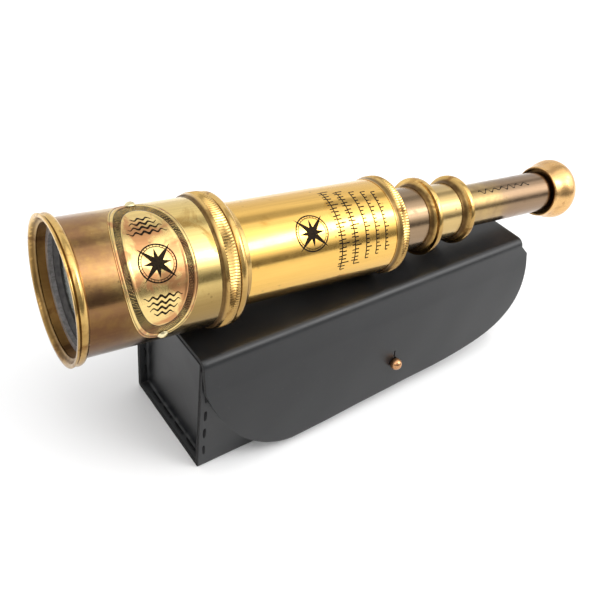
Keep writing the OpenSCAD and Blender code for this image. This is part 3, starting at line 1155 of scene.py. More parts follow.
        def recess(radius: float, height: float) -> float:
            """Painted shade and tarnish, dark in the cove before the lip."""
            return 0.8 if z - 2.6 < height < z - 0.6 and radius > 20.4 else 0.0

        finish_turned(piece, recess, 30, self.axis, Body.TELESCOPE, self.finishes.ring, "barrel_end_ring")


@dataclass
class Draws:
    """The three sliding draws with their end rings, and the eyecup.

    Attributes:
        finishes: The materials.
        axis: The telescope's axis.
    """

    finishes: Finishes
    axis: TelescopeAxis

    def build(self) -> None:
        """Makes the draws' visible pieces."""
        f = self.finishes
        tubes = ((Tube("draw1_tube", 14.0, 13.4, 79.3, 162.6), Body.DRAW1, "aged_brass", f.draw_one),
                 (Tube("draw2_tube", 12.8, 12.2, 100.8, 183.7), Body.DRAW2, "polished_brass", f.draw_two),
                 (Tube("draw3_tube", 10.0, 9.4, 168.0, 252.5), Body.DRAW3, "aged_brass", f.draw_three))
        for tube, body, slot, finish in tubes:
            fit_out(self.axis.lay(tube.build()), body, slot, (finish, f.black), tube.node)
        self.flared_ring("draw1_end_ring", tubes[0][0], lip_r=17.6, z1=159.7, z2=165.0, body=Body.DRAW1)
        self.flared_ring("draw2_end_ring", tubes[1][0], lip_r=15.9, z1=180.8, z2=186.1, body=Body.DRAW2)
        self.eyecup()

    def flared_ring(self, node: str, tube: Tube, lip_r: float, z1: float, z2: float, body: Body) -> None:
        """End ring of a draw: a dark cove that flares to a thin bright lip with fine teeth.

        Args:
            node: The CAD node it stands for.
            tube: The draw's tube, whose radii it takes.
            lip_r: The lip's radius.
            z1: Front end of the cove.
            z2: Rear face.
            body: The draw's body.
        """
        tube_r, bore = tube.outer, tube.bore
        flare = lip_r - tube_r - 0.3
        tube_end, lip_z = z2 - 2.38, z2 - 2.3
        around = 2 * round(lip_r * 5)
        outline = [(tube_r + 0.02, z1)] + arc(tube_r + 0.3 + flare, z1, flare, 178, 116, 10)
        outline += [(lip_r - 0.25, lip_z - 0.05), (lip_r, lip_z + 0.3), (lip_r, z2 - 0.8),
                    (lip_r - 0.15, z2 - 0.25), (lip_r - 0.5, z2), (bore, z2), (bore, tube_end),
                    (tube_r + 0.02, tube_end)]
        piece = turned(node + "_turned", outline, around=around)
        knurl(piece, lip_z + 0.2, z2 - 0.5, lip_r - 0.1, 0.008, around)

        def recess(radius: float, z: float) -> float:
            """Painted shade and tarnish, dark in the cove and clearing towards the lip."""
            return max(0.0, min(1.0, (lip_z - 0.3 - z) / 0.9)) if radius < lip_r - 0.2 else 0.0

        finish_turned(piece, recess, 30, self.axis, body, self.finishes.ring, node)

    def eyecup(self) -> None:
        """Mushroom eyecup with a dark recess round the tube and a bevelled eye hole."""
        z, end = 245.5, 262.5
        outline = [(11.5, z + 0.15), (11.7, z), (12.2, z), (12.45, z + 0.25)]
        outline += curve((12.6, z + 0.9), (12.9, z + 4.5), (14.4, z + 6), (14.85, z + 9.4), 12)
        outline += curve((14.9, z + 10.2), (14.6, z + 13.5), (12.2, z + 16.4), (8.4, end), 16)
        outline += [(7.4, end - 0.1), (6.4, end - 0.6), (4.2, end - 2.7), (4.0, end - 3.1), (4.0, end - 5.5),
                    (7.0, end - 9.9), (10.02, end - 9.9), (10.02, z + 2.2), (11.5, z + 2.2)]

        def recess(radius: float, height: float) -> float:
            """Painted shade and tarnish, dark round the tube in front and in the eye hole behind.

            Args:
                radius: The distance from the axis.
                height: The place along the axis.

            Returns:
                The depth, from 0 to 1.
            """
            in_front = radius < 11.6 and height < z + 2.5
            in_eye_hole = radius < 5 and height > z + 8
            return 1.0 if in_front or in_eye_hole else 0.0

        finish_turned(turned("eyecup_turned", outline), recess, 40, self.axis, Body.DRAW3, self.finishes.cup,
                      "eyecup")


@dataclass
class NamePlate:
    """The oval plate bent round the front tube, its two screws and the engravings.

    Attributes:
        finishes: The materials.
        axis: The telescope's axis.
        z: Axial place of the plate's middle.
        half_w: Half its width along the axis.
        half_arc: Half its length round the tube, along the surface.
        turn: Its middle's turn from the top towards the case front, in degrees.
        seat_r: Radius of the surface it lies on.
        face: Height of its field over that surface.
        screw_turn: Turn of each screw from its middle, in degrees.
        screw_lift: Height of the screws' seats over the tube.
        barrel_r: Radius of the barrel under its engravings.
        draw_r: Radius of the rear draw under its wavy line.
    """

    finishes: Finishes
    axis: TelescopeAxis
    z: float = 30.0
    half_w: float = 13.7
    half_arc: float = 31.0
    turn: float = 46.0
    seat_r: float = 24.82
    face: float = 0.3
    screw_turn: float = 66.5
    screw_lift: float = 0.45
    barrel_r: float = 20.3
    draw_r: float = 10.0

    def wrap(self, piece: bpy.types.Object, seat_r: float, z: float) -> bpy.types.Object:
        """Bends a flat piece, with X along the axis and Y round it, onto a tube.

        Args:
            piece: The flat piece, in millimetres, with its height along Z.
            seat_r: Radius of the tube under it.
            z: Axial place of its middle.

        Returns:
            The piece, laid on the telescope.
        """
        for vertex in piece.data.vertices:
            u, v, h = vertex.co
            angle = math.radians(180 + self.turn) + v / seat_r
            r = seat_r + h
            vertex.co = (r * math.cos(angle), r * math.sin(angle), z + u)
        with editing(piece):
            face_outwards()
        return self.axis.lay(piece)

    def build(self) -> None:
        """Makes the plate, the screws and the engravings."""
        self.oval()
        self.stipple()
        self.screws()
        self.rose("plate_rose", self.seat_r + self.face, self.z, size=8.3)
        self.sea_lines()
        self.rose("barrel_rose", self.barrel_r, z=95.0, size=9.0)
        self.scales()
        self.draw_wave()

    def oval(self) -> None:
        """The pressed plate: a field, an inner line, a sunk band, an outer line and a thin rim."""
        # share of the way from the middle to the rim, and height
        steps = [(share, self.face) for share in (0.015, 0.2, 0.4, 0.55, 0.66, 0.695)]
        steps += [(0.705, 0.42), (0.725, 0.46), (0.742, 0.40), (0.755, 0.20), (0.79, 0.18), (0.83, 0.18),
                  (0.87, 0.18), (0.895, 0.20), (0.908, 0.38), (0.93, 0.46), (0.952, 0.38), (0.96, 0.24),
                  (0.975, 0.24), (0.982, 0.34), (0.994, 0.34), (1.0, 0.2), (1.0, 0.0), (0.6, 0.0),
                  (0.015, 0.0)]
        plate = turned("name_plate_pressed", steps, closed=False, around=240)

        def recess(share: float, height: float) -> float:
            """Dark in the sunk band, and darker in the line inside the rim."""
            if 0.75 < share < 0.9:
                return 0.95
            return 0.6 if 0.958 < share < 0.978 else 0.0

        note_recess(plate, recess)
        with editing(plate):
            fill_open_loops()
        plate.data.transform(Matrix.Diagonal((self.half_w, self.half_arc, 1, 1)))
        smooth_by_angle(plate, 50)
        self.wrap(plate, self.seat_r, self.z)
        fit_out(plate, Body.TELESCOPE, "plate_brass", (self.finishes.plate,), "name_plate")

    def stipple(self) -> None:
        """Small punched dots in the plate's dark band."""
        count, band_height = 130, 0.19
        places = []
        for row, share in enumerate((0.775, 0.80, 0.825, 0.85, 0.875)):
            for i in range(count):
                t = math.tau * (i + 0.5 * (row % 2) + 0.23 * math.sin(5.1 * i + row)) / count
                u, v = self.half_w * share * math.cos(t), self.half_arc * share * math.sin(t)
                places.append(Matrix.Translation((u, v, band_height)))
        bpy.ops.object.select_all(action="DESELECT")
        bpy.ops.mesh.primitive_uv_sphere_add(segments=6, ring_count=4, radius=0.16, location=(0, 0, 0))
        piece = set_out(bpy.context.active_object, places, "plate_stipple")
        self.wrap(piece, self.seat_r, self.z)
        fit_out(piece, Body.TELESCOPE, "plate_brass", (self.finishes.plate,))

    def screws(self) -> None:
        """Two slotted round-head screws at the ends of the oval."""
        heads = []
        for side in (-1, 1):
            outline = [(1.2, 0.0), (1.95, 0.0), (2.0, 0.15)] + arc(0, -0.9, 2.25, 27, 88, 8)
            head = turned("screw_head", outline, closed=False, around=48)
            with editing(head):
                fill_open_loops()
                face_outwards()
            cut_away(head, box_at((-3, -0.28, 0.75), (3, 0.28, 3)))
            smooth_by_angle(head, 40)
            slot_turn = Matrix.Rotation(math.radians(35 * side), 4, "Z")
            outwards = Matrix.Rotation(math.radians(90), 4, "Y")
            around_axis = Matrix.Rotation(math.radians(180 + self.turn + side * self.screw_turn), 4, "Z")
            seat = Matrix.Translation((self.seat_r + self.screw_lift, 0, self.z + 1))
            head.data.transform(around_axis @ seat @ outwards @ slot_turn)
            heads.append(head)
        screws = self.axis.lay(join_all(heads, "plate_screw_heads"))
        fit_out(screws, Body.TELESCOPE, "pale_brass", (self.finishes.pale,), "plate_screws")

    def star(self, long: float, short: float, points: int, turn: float) -> bpy.types.Object:
        """A flat star: a disc with every second corner pulled in.

        Args:
            long: Radius of the points.
            short: Radius between them.
            points: How many points it has.
            turn: Its turn, in degrees.

        Returns:
            The star, cut into cells small enough to bend.
        """
        bpy.ops.object.select_all(action="DESELECT")
        bpy.ops.mesh.primitive_circle_add(vertices=2 * points, radius=long, fill_type="TRIFAN",
                                          location=(0, 0, 0))
        star = bpy.context.active_object
        for i, vertex in enumerate(star.data.vertices):
            on_rim = vertex.co.length > 0.1
            if on_rim and i % 2 == 1:
                vertex.co *= short / long
        star.data.transform(Matrix.Rotation(math.radians(turn), 4, "Z"))
        with editing(star):
            bpy.ops.mesh.subdivide(number_cuts=5)
        return star

    def hoop(self, outer: float, inner: float) -> bpy.types.Object:
        """A thin flat ring between two radii."""
        return turned("hoop", [(outer, 0.0), (inner, 0.0)], closed=False, around=96)

    def bar(self, u1: float, u2: float, v1: float, v2: float) -> bpy.types.Object:
        """A flat engraved line, cut into cells small enough to bend.

        Args:
            u1: Its front edge, along the axis.
            u2: Its rear edge.
            v1: Its first end, round the axis.
            v2: Its last end.

        Returns:
            The line.
        """
        cell = 1.2
        cells = max(1, round(abs(v2 - v1) / cell))
        return mapped_grid("bar", 1, cells, lambda s, t: (u1 + (u2 - u1) * s, v1 + (v2 - v1) * t, 0.0))

    def ink_in(self, parts: Sequence[bpy.types.Object], name: str, seat_r: float, z: float,
               body: Body = Body.TELESCOPE) -> None:
        """Joins flat engraving parts, bends them onto a tube and dresses them.

        Args:
            parts: The flat parts.
            name: The piece's name.
            seat_r: Radius of the surface under them.
            z: Axial place of their middle.
            body: The body they ride on.
        """
        piece = join_all(parts, name)
        ink_height = 0.012
        for vertex in piece.data.vertices:
            vertex.co.z = ink_height
        self.wrap(piece, seat_r, z)
        fit_out(piece, body, "blackened_brass", (self.finishes.ink,))

    def rose(self, name: str, seat_r: float, z: float, size: float) -> None:
        """A plain eight-point compass rose with a graduated hoop.

        Args:
            name: The piece's name.
            seat_r: Radius of the surface under it.
            z: Axial place of its middle.
            size: Radius of its long points.
        """
        parts = [self.star(size, size * 0.19, 4, 0), self.star(size * 0.62, size * 0.17, 4, 45),
                 self.hoop(size * 0.82, size * 0.76), self.hoop(size * 0.70, size * 0.67)]
        ticks = 32
        for i in range(ticks):
            tick = self.bar(size * 0.70, size * 0.76, -0.09, 0.09)
            tick.data.transform(Matrix.Rotation(math.tau * i / ticks, 4, "Z"))
            parts.append(tick)
        self.ink_in(parts, name, seat_r, z)

    def sea_lines(self) -> None:
        """Rows of short waves above and below the plate's compass rose."""
        parts = []
        for side in (-1, 1):
            for row, (start, half) in enumerate(((11.5, 7.0), (13.6, 6.0), (15.7, 5.0), (17.8, 3.6))):
                v0 = side * start

                def wave(s: float, t: float, v0: float = v0, half: float = half) -> Point3:
                    """A short line that swells in its middle.

                    Args:
                        s: Share of the way along it.
                        t: Share of the way across it.
                        v0: Its place round the tube.
                        half: Half its length.

                    Returns:
                        The flat point.
                    """
                    u = -half + 2 * half * s
                    width = 0.33 * (0.4 + math.sin(math.pi * s))
                    return u, v0 + 0.5 * math.sin(u * 2.1) + (t - 0.5) * 2 * width, 0.0

                parts.append(mapped_grid("wave", 48, 1, wave))
        self.ink_in(parts, "plate_waves", self.seat_r + self.face, self.z)

    def scales(self) -> None:
        """Graduated scales round the barrel, each a line with long and short strokes."""
        parts = []
        pitch = 1.6
        # axial place, half the length round the barrel, and length of the short strokes
        rows = ((0.0, 18.0, 2.1), (6.4, 16.5, 1.8), (12.0, 15.0, 1.6), (17.2, 14.0, 1.4), (22.0, 13.0, 1.2))
        for k, (u, half, stroke) in enumerate(rows):
            parts.append(self.bar(u - 0.25, u + 0.25, -half, half))
            count = int(2 * half / pitch)
            step = 2 * half / count
            for i in range(count + 1):
                v = -half + step * i
                reach = stroke * (1.7 if i % 5 == 0 else 1.0)
                parts.append(self.bar(u, u + reach, v - 0.26, v + 0.26))
                if k < 2 and i % 2 == 0 and i < count:
                    parts.append(self.bar(u - 1.5, u - 0.25, v, v + step))
        self.ink_in(parts, "barrel_scales", self.barrel_r, z=108.0)

    def draw_wave(self) -> None:
        """One long wavy line cut along the rear draw."""

        def wave(s: float, t: float) -> Point3:
            """A line whose height and width change slowly.

            Args:
                s: Share of the way along it.
                t: Share of the way across it.

            Returns:
                The flat point.
            """
            u = -17.0 + 34.0 * s
            width = 0.16 + 0.2 * abs(math.sin(0.9 * u))
            middle = -4.2 + 1.2 * math.sin(1.25 * u) * (0.75 + 0.25 * math.sin(0.4 * u))
            return u, middle + (2 * t - 1) * width, 0.0

        line = mapped_grid("wave", 150, 1, wave)
        self.ink_in([line], "draw_wave_line", self.draw_r, z=214.0, body=Body.DRAW3)


# ---------------------------------------------------------------------------------------------------
# Leather case
# ---------------------------------------------------------------------------------------------------


@dataclass
class LeatherCase:
    """The closed case: the wrap, the end panels with their stitched rims, the lid, the flap and the stud.

    Attributes:
        finishes: The materials.
        length: Length along X.
        width: Depth of the wrap along Y.
        height: Height over the lid.
        wall: Thickness of the wrap.
        lid_t: Thickness of the lid.
        flap_t: Thickness of the lid and flap's leather.
        back_top: Height where the back's fold begins.
        back_fold: Radius of the fold at the top of the back.
        front_fold: Radius of the fold at the top of the front.
        corner: Radius of the folds at the bottom.
        rim_depth: How far the end panels lie inside their rims.
        lean: How far the flap stands off the front, in degrees from upright.
        drop: How far it hangs down from its fold at the left.
        rise: How much less it hangs down at the right.
        bow: How far its right edge bows out past the case.
        left_corner: Length of its rounded corner at the left.
        right_corner: Length of its rounded corner at the right.
        stud_x: Place of the stud along the case.
        stud_z: Height of the stud.
        across: Cells of the wrap and the back's fold along the case.
    """

    finishes: Finishes
    length: float = 182.0
    width: float = 56.6
    height: float = 63.0
    wall: float = 1.2
    lid_t: float = 2.0
    flap_t: float = 1.8
    back_top: float = 57.0
    back_fold: float = 3.0
    front_fold: float = 4.1
    corner: float = 1.6
    rim_depth: float = 4.2
    lean: float = 8.0
    drop: float = 55.2
    rise: float = 2.8
    bow: float = 6.0
    left_corner: float = 42.0
    right_corner: float = 70.0
    stud_x: float = 8.5
    stud_z: float = 23.2
    across: int = 90

    def build(self) -> None:
        """Makes the case's pieces."""
        self.wrap()
        self.back_strip()
        self.lid_and_flap()
        for side, name in ((-1, "left"), (1, "right")):
            self.end_panel(side, name)
            self.stitches(side, name)
        self.stud()

    def thicken(self, sheet: bpy.types.Object, thickness: float, edge: float) -> None:
        """Gives a sheet of leather its thickness, behind its face, and rounds its cut edges.

        Args:
            sheet: The sheet, one surface that faces outwards.
            thickness: The leather's thickness.
            edge: How far its cut edges are rounded.
        """
        for material in (self.finishes.leather, self.finishes.edge):
            sheet.data.materials.append(material)
        with editing(sheet):
            bpy.ops.mesh.remove_doubles(threshold=SAME_POINT)
        apply_modifier(sheet, "SOLIDIFY", thickness=thickness, offset=-1, use_even_offset=True,
                       material_offset_rim=1)
        apply_modifier(sheet, "BEVEL", width=edge, segments=3, limit_method="ANGLE",
                       angle_limit=math.radians(50))
        smooth_by_angle(sheet, 60)

    def wander(self, x: float, along: float) -> float:
        """How far the leather stands off its flat, in millimetres: slow and slight."""
        slow = 0.18 * math.sin(0.061 * x + 0.8) * math.sin(0.083 * along + 0.4)
        return slow + 0.06 * math.sin(0.19 * x + 0.13 * along)

    def wrap(self) -> None:
        """Front, bottom and back of the case, one strip of leather."""
        half, r = self.width / 2, self.corner
        front_top, front_run = self.height - 5.5, self.height - 8.5
        tall, deep = 16, 14
        path = [(-half, front_top - front_run * i / tall) for i in range(tall)]
        path += arc(-half + r, r, r, 180, 270, 6)
        path += [(-half + r + (2 * half - 2 * r) * i / deep, 0.0) for i in range(1, deep)]
        path += arc(half - r, r, r, 270, 360, 6)
        path += [(half, r + (self.back_top - r) * i / tall) for i in range(1, tall + 1)]
        last = len(path) - 1

        def place(u: float, v: float) -> Point3:
            """A point of the strip, pushed a little out of flat on its walls.

            Args:
                u: Share of the way across.
                v: Share of the way down.

            Returns:
                The point, in millimetres.
            """
            y, z = path[round(v * last)]
            x = (u - 0.5) * self.length
            push = self.wander(x, y + z) if 8 < z < 52 else 0.0
            return x, y + math.copysign(push * 0.7, y), z

        sheet = mapped_grid("wrap_leather", self.across, last, place)
        with editing(sheet):
            bpy.ops.mesh.normals_make_consistent(inside=False)
            bpy.ops.mesh.flip_normals()
        self.face_out(sheet)
        self.thicken(sheet, self.wall, 0.3)
        fit_out(to_metres(sheet), Body.CASE, "black_leather", (self.finishes.leather, self.finishes.edge),
                "case_wrap")

    def face_out(self, sheet: bpy.types.Object) -> None:
        """Turns a sheet's faces away from the middle of the case.

        Args:
            sheet: The sheet, in millimetres.
        """
        middle = Vector((0, 0, self.height / 2))
        outward = sum((p.center - middle).dot(p.normal) * p.area for p in sheet.data.polygons)
        if outward < 0:
            with editing(sheet):
                bpy.ops.mesh.flip_normals()

    def back_strip(self) -> None:
        """The fold over the top back edge."""
        half, r = self.width / 2, self.back_fold
        path = [(half, self.back_top + 0.75 * i) for i in range(4)]
        path += arc(half - r, self.height - r, r, 0, 90, 10)
        last = len(path) - 1

        def place(u: float, v: float) -> Point3:
            """A point of the fold."""
            y, z = path[round(v * last)]
            return (u - 0.5) * self.length, y, z

        sheet = mapped_grid("back_fold_leather", self.across, last, place)
        self.face_out(sheet)
        self.thicken(sheet, 1.6, 0.12)
        to_metres(sheet)
        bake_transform(sheet)
        log.info("%s bends between case and lid", sheet.name)

    def flap_outline(self) -> list[Point2]:
        """The hanging flap's edge from the left, along the bottom, to the right: X and distance down."""
        half, low, low_right = self.length / 2, self.drop, self.drop - self.rise
        left_end, right_end = -half + self.left_corner, half - self.right_corner
        left = curve((-half, 11), (-half + 6, 31), (-half + 20, low - 3), (left_end, low), 26)
        right = curve((right_end, low_right), (half - 12.8, low_right - 1.5), (half + self.bow + 5.6, 43.4),
                      (half + self.bow - 1, 5), 36)
        cells = 18
        flat = [(left_end + (right_end - left_end) * i / cells, low - self.rise * i / cells)
                for i in range(1, cells)]
        return left + flat + right

    def lid_and_flap(self) -> None:
        """Lid, front fold and flap: one sheet of leather, with the flap standing off the front."""
        edge = self.flap_outline()
        across = len(edge) - 1
        front = -self.width / 2 + 2.3
        back = self.width / 2 - self.back_fold
        fold_z = self.height - self.front_fold
        lid_rows, fold_rows, flap_rows = 24, 10, 40
        rows = lid_rows + fold_rows + flap_rows
        lengths = [0.0]
        for (x1, d1), (x2, d2) in zip(edge, edge[1:]):
            lengths.append(lengths[-1] + math.hypot(x2 - x1, d2 - d1))
        lean = math.radians(self.lean)

        def top_x(column: int) -> float:
            """Where a column of the sheet runs over the lid."""
            return (lengths[column] / lengths[-1] - 0.5) * self.length

        def place(u: float, v: float) -> Point3:
            """A point of the lid, the fold or the flap, by its row.

            Args:
                u: Share of the way across.
                v: Share of the way down.

            Returns:
                The point, in millimetres.
            """
            column, row = round(u * across), round(v * rows)
            x = top_x(column)
            if row <= lid_rows:
                y = back + (front - back) * row / lid_rows
                return x, y, self.height + 0.5 * self.wander(x, y) * math.sin(math.pi * row / lid_rows)
            if row <= lid_rows + fold_rows:
                angle = math.pi / 2 + (math.pi / 2 - lean) * (row - lid_rows) / fold_rows
                y = front + self.front_fold * math.cos(angle)
                return x, y, fold_z + self.front_fold * math.sin(angle)
            share = (row - lid_rows - fold_rows) / flap_rows
            x += (edge[column][0] - x) * share
            down = edge[column][1] * share
            out = self.bulge(x, down)
            y0 = front - self.front_fold * math.cos(lean)
            z0 = fold_z + self.front_fold * math.sin(lean)
            y = y0 - down * math.sin(lean) - out * math.cos(lean)
            return x, y, z0 - down * math.cos(lean) + out * math.sin(lean)

        sheet = mapped_grid("lid_and_flap_leather", across, rows, place)
        self.face_out(sheet)
        self.thicken(sheet, self.flap_t, 0.45)
        self.cut_slit(sheet)
        smooth_by_angle(sheet, 60)
        to_metres(sheet)
        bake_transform(sheet)
        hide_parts("lid_panel", "flap")
        log.info("%s bends between lid and flap", sheet.name)

    def bulge(self, x: float, down: float) -> float:
        """How far the flap stands off its plane.

        Args:
            x: The place along the case.
            down: The distance down from the fold.

        Returns:
            The distance outwards, in millimetres.
        """
        eased = min(1.0, down / 12)
        return eased * (0.9 * math.sin(math.pi * min(1.0, down / self.drop)) + 0.7 * self.wander(x, down))

    def cut_slit(self, sheet: bpy.types.Object) -> None:
        """Cuts the small hole and slit that the stud's ball is pushed through.

        Args:
            sheet: The lid and flap, in millimetres.
        """
        x, y, z = self.stud_x, -34.0, self.stud_z
        bpy.ops.object.select_all(action="DESELECT")
        bpy.ops.mesh.primitive_cylinder_add(vertices=32, radius=2.0, depth=9, location=(x, y, z + 0.6),
                                            rotation=(math.radians(90), 0, 0))
        hole = bpy.context.active_object
        bpy.ops.object.transform_apply(location=True, rotation=True, scale=True)
        cut_away(sheet, hole)
        cut_away(sheet, box_at((x - 0.35, y - 4.5, z + 1), (x + 0.35, y + 4.5, z + 6.2)))

    def end_panel(self, side: int, name: str) -> None:
        """An end panel, dished so that its rim is sewn inside the wrap.

        Args:
            side: -1 at the left, 1 at the right.
            name: left or right.
        """
        fit_gap = 0.02
        half = self.width / 2 - self.wall - fit_gap
        low, high = self.wall + fit_gap, self.height - self.lid_t - 0.3
        r = max(self.corner - self.wall, 0.4)
        loop = arc(half - r, low + r, r, 270, 360, 5) + arc(half - r, high - r, r, 0, 90, 5)
        loop += arc(-half + r, high - r, r, 90, 180, 5) + arc(-half + r, low + r, r, 180, 270, 5)
        tip = side * self.length / 2
        depth = self.rim_depth
        # inset from the outer loop and distance in from the tip: out, over the rim, down to the panel
        steps = [(0.0, depth + self.wall), (0.0, 0.35), (0.12, 0.1), (0.35, 0.0), (0.85, 0.0), (1.08, 0.1),
                 (1.2, 0.35), (1.2, depth - 1.2), (1.45, depth - 0.5), (2.1, depth - 0.05), (3.5, depth),
                 (14.0, depth + 0.25), (24.0, depth + 0.3)]
        middle = (low + high) / 2
        span = (high - low) / 2

        def place(u: float, v: float) -> Point3:
            """A point of the loop, drawn in by its step.

            Args:
                u: Share of the way across.
                v: Share of the way down.

            Returns:
                The point, in millimetres.
            """
            inset, back = steps[round(v * (len(steps) - 1))]
            y, z = loop[round(u * len(loop)) % len(loop)]
            ky = (half - inset) / half
            kz = (span - inset) / span
            return tip - side * back, y * ky, middle + (z - middle) * kz

        panel = mapped_grid(name + "_end_leather", len(loop), len(steps) - 1, place)
        with editing(panel):
            bpy.ops.mesh.remove_doubles(threshold=1e-3)
            fill_open_loops()
            face_outwards()
        smooth_by_angle(panel, 50)
        for face in panel.data.polygons:
            face.material_index = 1 if abs(face.center.x) > self.length / 2 - 0.3 else 0
        fit_out(to_metres(panel), Body.CASE, "black_leather", (self.finishes.leather, self.finishes.edge),
                name + "_end_panel")

    def stitch(self, length: float, r: float) -> bpy.types.Object:
        """One stitch: a blunt rod along Z whose ends bend away from +X.

        Args:
            length: Its length.
            r: Its radius.

        Returns:
            The stitch, about the origin.
        """
        tip, cells = 0.12, 12
        outline = [(tip, -length / 2)]
        for i in range(cells + 1):
            swell = math.sin(math.pi * (0.12 + 0.76 * i / cells)) ** 0.35
            outline.append((r * swell, length * (-0.5 + (i + 0.5) / (cells + 1))))
        outline.append((tip, length / 2))
        model = turned("stitch", outline, closed=False, around=14)
        for vertex in model.data.vertices:
            vertex.co.x -= 1.0 * (2 * vertex.co.z / length) ** 4
        return model

    def stitches(self, side: int, name: str) -> None:
        """Thick waxed stitches along one rim, each arched and sunk at its ends.

        Args:
            side: -1 at the left, 1 at the right.
            name: left or right.
        """
        length, pitch, first_z, first_y = 7.2, 10.6, 7, -21
        row_x, proud = side * (self.length / 2 - 2.4), 0.1
        inner = self.width / 2 - 2 * self.wall
        outer = self.width / 2
        upright = []
        for i in range(5):
            z = first_z + i * pitch + length / 2
            upright += [(-inner + proud, z, 90), (inner - proud, z, -90), (-outer - proud, z, -90)]
        upright += [(outer + proud, first_z + i * pitch + length / 2, 90) for i in range(4)]
        places = []
        for y, z, turn in upright:
            wobble = Matrix.Rotation(math.radians(2.5 * math.sin(7.3 * z + y)), 4, "Y")
            facing = Matrix.Rotation(math.radians(turn), 4, "Z")
            places.append(Matrix.Translation((row_x, y, z)) @ wobble @ facing)
        lay_down = Matrix.Rotation(math.radians(-90), 4, "X") @ Matrix.Rotation(math.radians(90), 4, "Z")
        for i in range(4):
            seat = Matrix.Translation((row_x, first_y + i * pitch + length / 2, 2 * self.wall + proud))
            places.append(seat @ lay_down)
        piece = set_out(self.stitch(length, 0.62), places, name + "_thread")
        smooth_by_angle(piece, 60)
        fit_out(to_metres(piece), Body.CASE, "black_thread", (self.finishes.thread,), name + "_stitches")

    def stud(self) -> None:
        """The coppery ball stud on its neck and base."""
        reach, ball = 9.4, 2.85
        outline = [(0.05, 0.02), (3.2, 0.02), (3.4, 0.2), (3.4, 0.5), (3.0, 0.82), (1.9, 0.95), (1.4, 1.4),
                   (1.3, reach - 3.4), (1.45, reach - 2.6)]
        outline += arc(0, reach, ball, -55, 89, 24)
        piece = turned("stud_ball", outline, closed=False, around=64)
        out = Matrix.Rotation(math.radians(90), 4, "X")
        piece.data.transform(Matrix.Translation((self.stud_x, -self.width / 2, self.stud_z)) @ out)
        smooth_by_angle(piece, 50)
        fit_out(to_metres(piece), Body.CASE, "stud_brass", (self.finishes.stud,), "closing_stud")


# ---------------------------------------------------------------------------------------------------
# Carried-over CAD pieces, camera, light and floor
# ---------------------------------------------------------------------------------------------------


def dress_cad_nodes(frame: dict, finishes: Finishes) -> None:
    """Gives every carried-over CAD node its material.

    Args:
        finishes: The materials.
    """
    f = finishes
    dressed = {
        f.grey: ("objective_retainer",),
        f.black: ("objective_cell", "lens_spring_ring", "draw1_stop", "draw2_stop", "erector_cell",
                  "erector_spacer", "field_stop", "eyepiece_spacer"),
        f.glass: ("objective_lens", "erector_lenses", "field_lens", "eye_lens"),
        f.felt: ("barrel_bush", "draw1_bush", "draw2_bush"),
        f.stud: ("stud_washer",),
    }
    for material, names in dressed.items():
        for name in names:
            mesh = frame["nodes"][name].data
            mesh.materials.clear()
            mesh.materials.append(material)


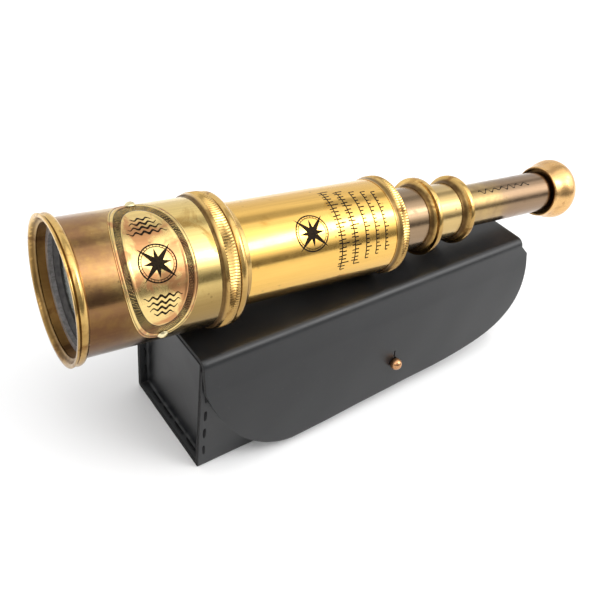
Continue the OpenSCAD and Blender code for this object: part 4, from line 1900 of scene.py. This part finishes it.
@dataclass(frozen=True)
class Studio:
    """Plain pale floor, soft light and the camera.

    Attributes:
        eye: The camera's place, in metres.
        target: The point in the middle of its view.
        roll: Its roll about the view, in degrees.
        lens: Focal length for a 36 mm sensor.
        sky: Brightness round the object: the angle about X from straight up towards the front, in
            degrees, and the brightness there.
    """

    eye: Vector = Vector((-0.19364, -0.19598, 0.25698))
    target: Vector = Vector((-0.01033, 0.0152, 0.03025))
    roll: float = 8.6
    lens: float = 43.9
    sky: tuple[Point2, ...] = ((-180.0, 0.5), (-118.0, 0.85), (-95.0, 0.95), (-75.0, 1.0), (-50.0, 1.0),
                               (-33.0, 1.2), (-24.0, 0.6), (-12.0, 0.6), (-4.0, 1.4), (8.0, 1.7),
                               (20.0, 2.3), (30.0, 3.3), (54.0, 3.5), (64.0, 1.8), (72.0, 1.0), (78.0, 0.3),
                               (90.0, 0.25), (98.0, 0.7), (180.0, 0.5))

    def build(self) -> None:
        """Makes the camera, the lights, the world and the floor."""
        self.camera()
        self.world()
        self.floor()
        self.softbox("key", place=(0.55, -0.62, 0.8), aim=(0.0, 0.0, 0.05), width=0.5, height=0.25, watts=2.0)
        settings = bpy.context.scene.view_settings
        settings.view_transform = "Standard"
        settings.look = "None"

    def camera(self) -> None:
        """Places the camera."""
        data = bpy.data.cameras.new("camera")
        data.lens = self.lens
        data.clip_start = 0.01
        camera = bpy.data.objects.new("camera", data)
        bpy.context.scene.collection.objects.link(camera)
        camera.location = self.eye
        aim = (self.target - self.eye).to_track_quat("-Z", "Y")
        camera.rotation_mode = "QUATERNION"
        camera.rotation_quaternion = aim @ Quaternion((0, 0, 1), math.radians(self.roll))
        bpy.context.scene.camera = camera

    def softbox(self, name: str, place: Sequence[float], aim: Sequence[float], width: float, height: float,
                watts: float) -> None:
        """Adds a rectangular soft light.

        Args:
            name: Its name.
            place: Where it stands.
            aim: The point it faces.
            width: Its width in metres.
            height: Its height in metres.
            watts: Its power.
        """
        data = bpy.data.lights.new(name, "AREA")
        data.shape = "RECTANGLE"
        data.size, data.size_y, data.energy = width, height, watts
        light = bpy.data.objects.new(name, data)
        bpy.context.scene.collection.objects.link(light)
        light.location = place
        light.rotation_euler = (Vector(aim) - Vector(place)).to_track_quat("-Z", "Y").to_euler()

    def world(self) -> None:
        """A studio round the object: white walls, a bright panel over the front and dark gaps between.

        Its brightness depends on the angle about X, counted from straight up towards the front. Both
        ends are grey, and the left part of the front is dimmed. The camera sees plain white.
        """
        world = bpy.data.worlds.new("studio")
        world.use_nodes = True
        bpy.context.scene.world = world
        s = Shading(world.node_tree)
        way = s.add("SeparateXYZ", {0: s.add("TexCoord").outputs["Generated"]}).outputs
        turn = s.maths("ARCTAN2", s.maths("MULTIPLY", way["Y"], -1.0), way["Z"])
        place = s.maths("ADD", s.maths("MULTIPLY", turn, 1 / math.tau), 0.5)
        ramp = s.add("ValToRGB", {0: place})
        brightest = max(level for _, level in self.sky)
        elements = ramp.color_ramp.elements
        for _ in range(len(self.sky) - 2):
            elements.new(0.5)
        for element, (degrees, level) in zip(elements, self.sky):
            element.position = degrees / 360 + 0.5
            element.color = (level / brightest, level / brightest, level / brightest, 1.0)
        grey, dim_grey = (0.35, 0.35, 0.35), (0.05, 0.05, 0.05)
        endwise = s.spread(s.maths("ABSOLUTE", way["X"]), 0.8, 0.97)
        light = s.blend(endwise, ramp.outputs[0], grey)
        # the dimmed part ends at an edge that leans, and begins a little in front of straight up
        dim_edge = s.maths("SUBTRACT", way["X"], s.maths("MULTIPLY", s.maths("SUBTRACT", turn, 0.6), 0.25))
        dim = s.maths("MULTIPLY", s.spread(dim_edge, 0.17, 0.25, 1.0, 0.0), s.spread(turn, 0.45, 0.7))
        light = s.blend(s.maths("MULTIPLY", dim, 0.85), light, dim_grey)
        seen = s.add("LightPath").outputs["Is Camera Ray"]
        strength = s.maths("ADD", s.maths("MULTIPLY", seen, 1.0 - brightest), brightest)
        colour = s.blend(seen, light, (1.0, 1.0, 1.0))
        shader = s.add("Background", {"Color": colour, "Strength": strength})
        output = s.add("OutputWorld")
        s.tree.links.new(shader.outputs[0], output.inputs["Surface"])

    def floor(self) -> None:
        """A plain pale floor under the case."""
        just_below = -0.00005
        bpy.ops.object.select_all(action="DESELECT")
        bpy.ops.mesh.primitive_plane_add(size=12, location=(0, 0, just_below))
        floor = named(bpy.context.active_object, "floor")
        material, s = new_material("pale_floor")
        vector = s.add("TexCoord").outputs["Object"]
        colour = s.blend(s.noise(vector, 3.0, 2.0), (0.90, 0.90, 0.90), (0.93, 0.93, 0.93))
        s.finish({"Base Color": colour, "Roughness": 0.8})
        floor.data.materials.append(material)


def main() -> None:
    """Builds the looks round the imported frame."""
    logging.basicConfig(level=logging.INFO, format="%(name)s: %(message)s")
    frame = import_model()
    Studio().build()
    axis = TelescopeAxis.from_frame(frame)
    finishes = Finishes(axis)
    dress_cad_nodes(frame, finishes)
    parts = (Telescope(finishes, axis), Draws(finishes, axis), NamePlate(finishes, axis),
             LeatherCase(finishes))
    for part in parts:
        part.build()


if __name__ == "__main__":
    main()
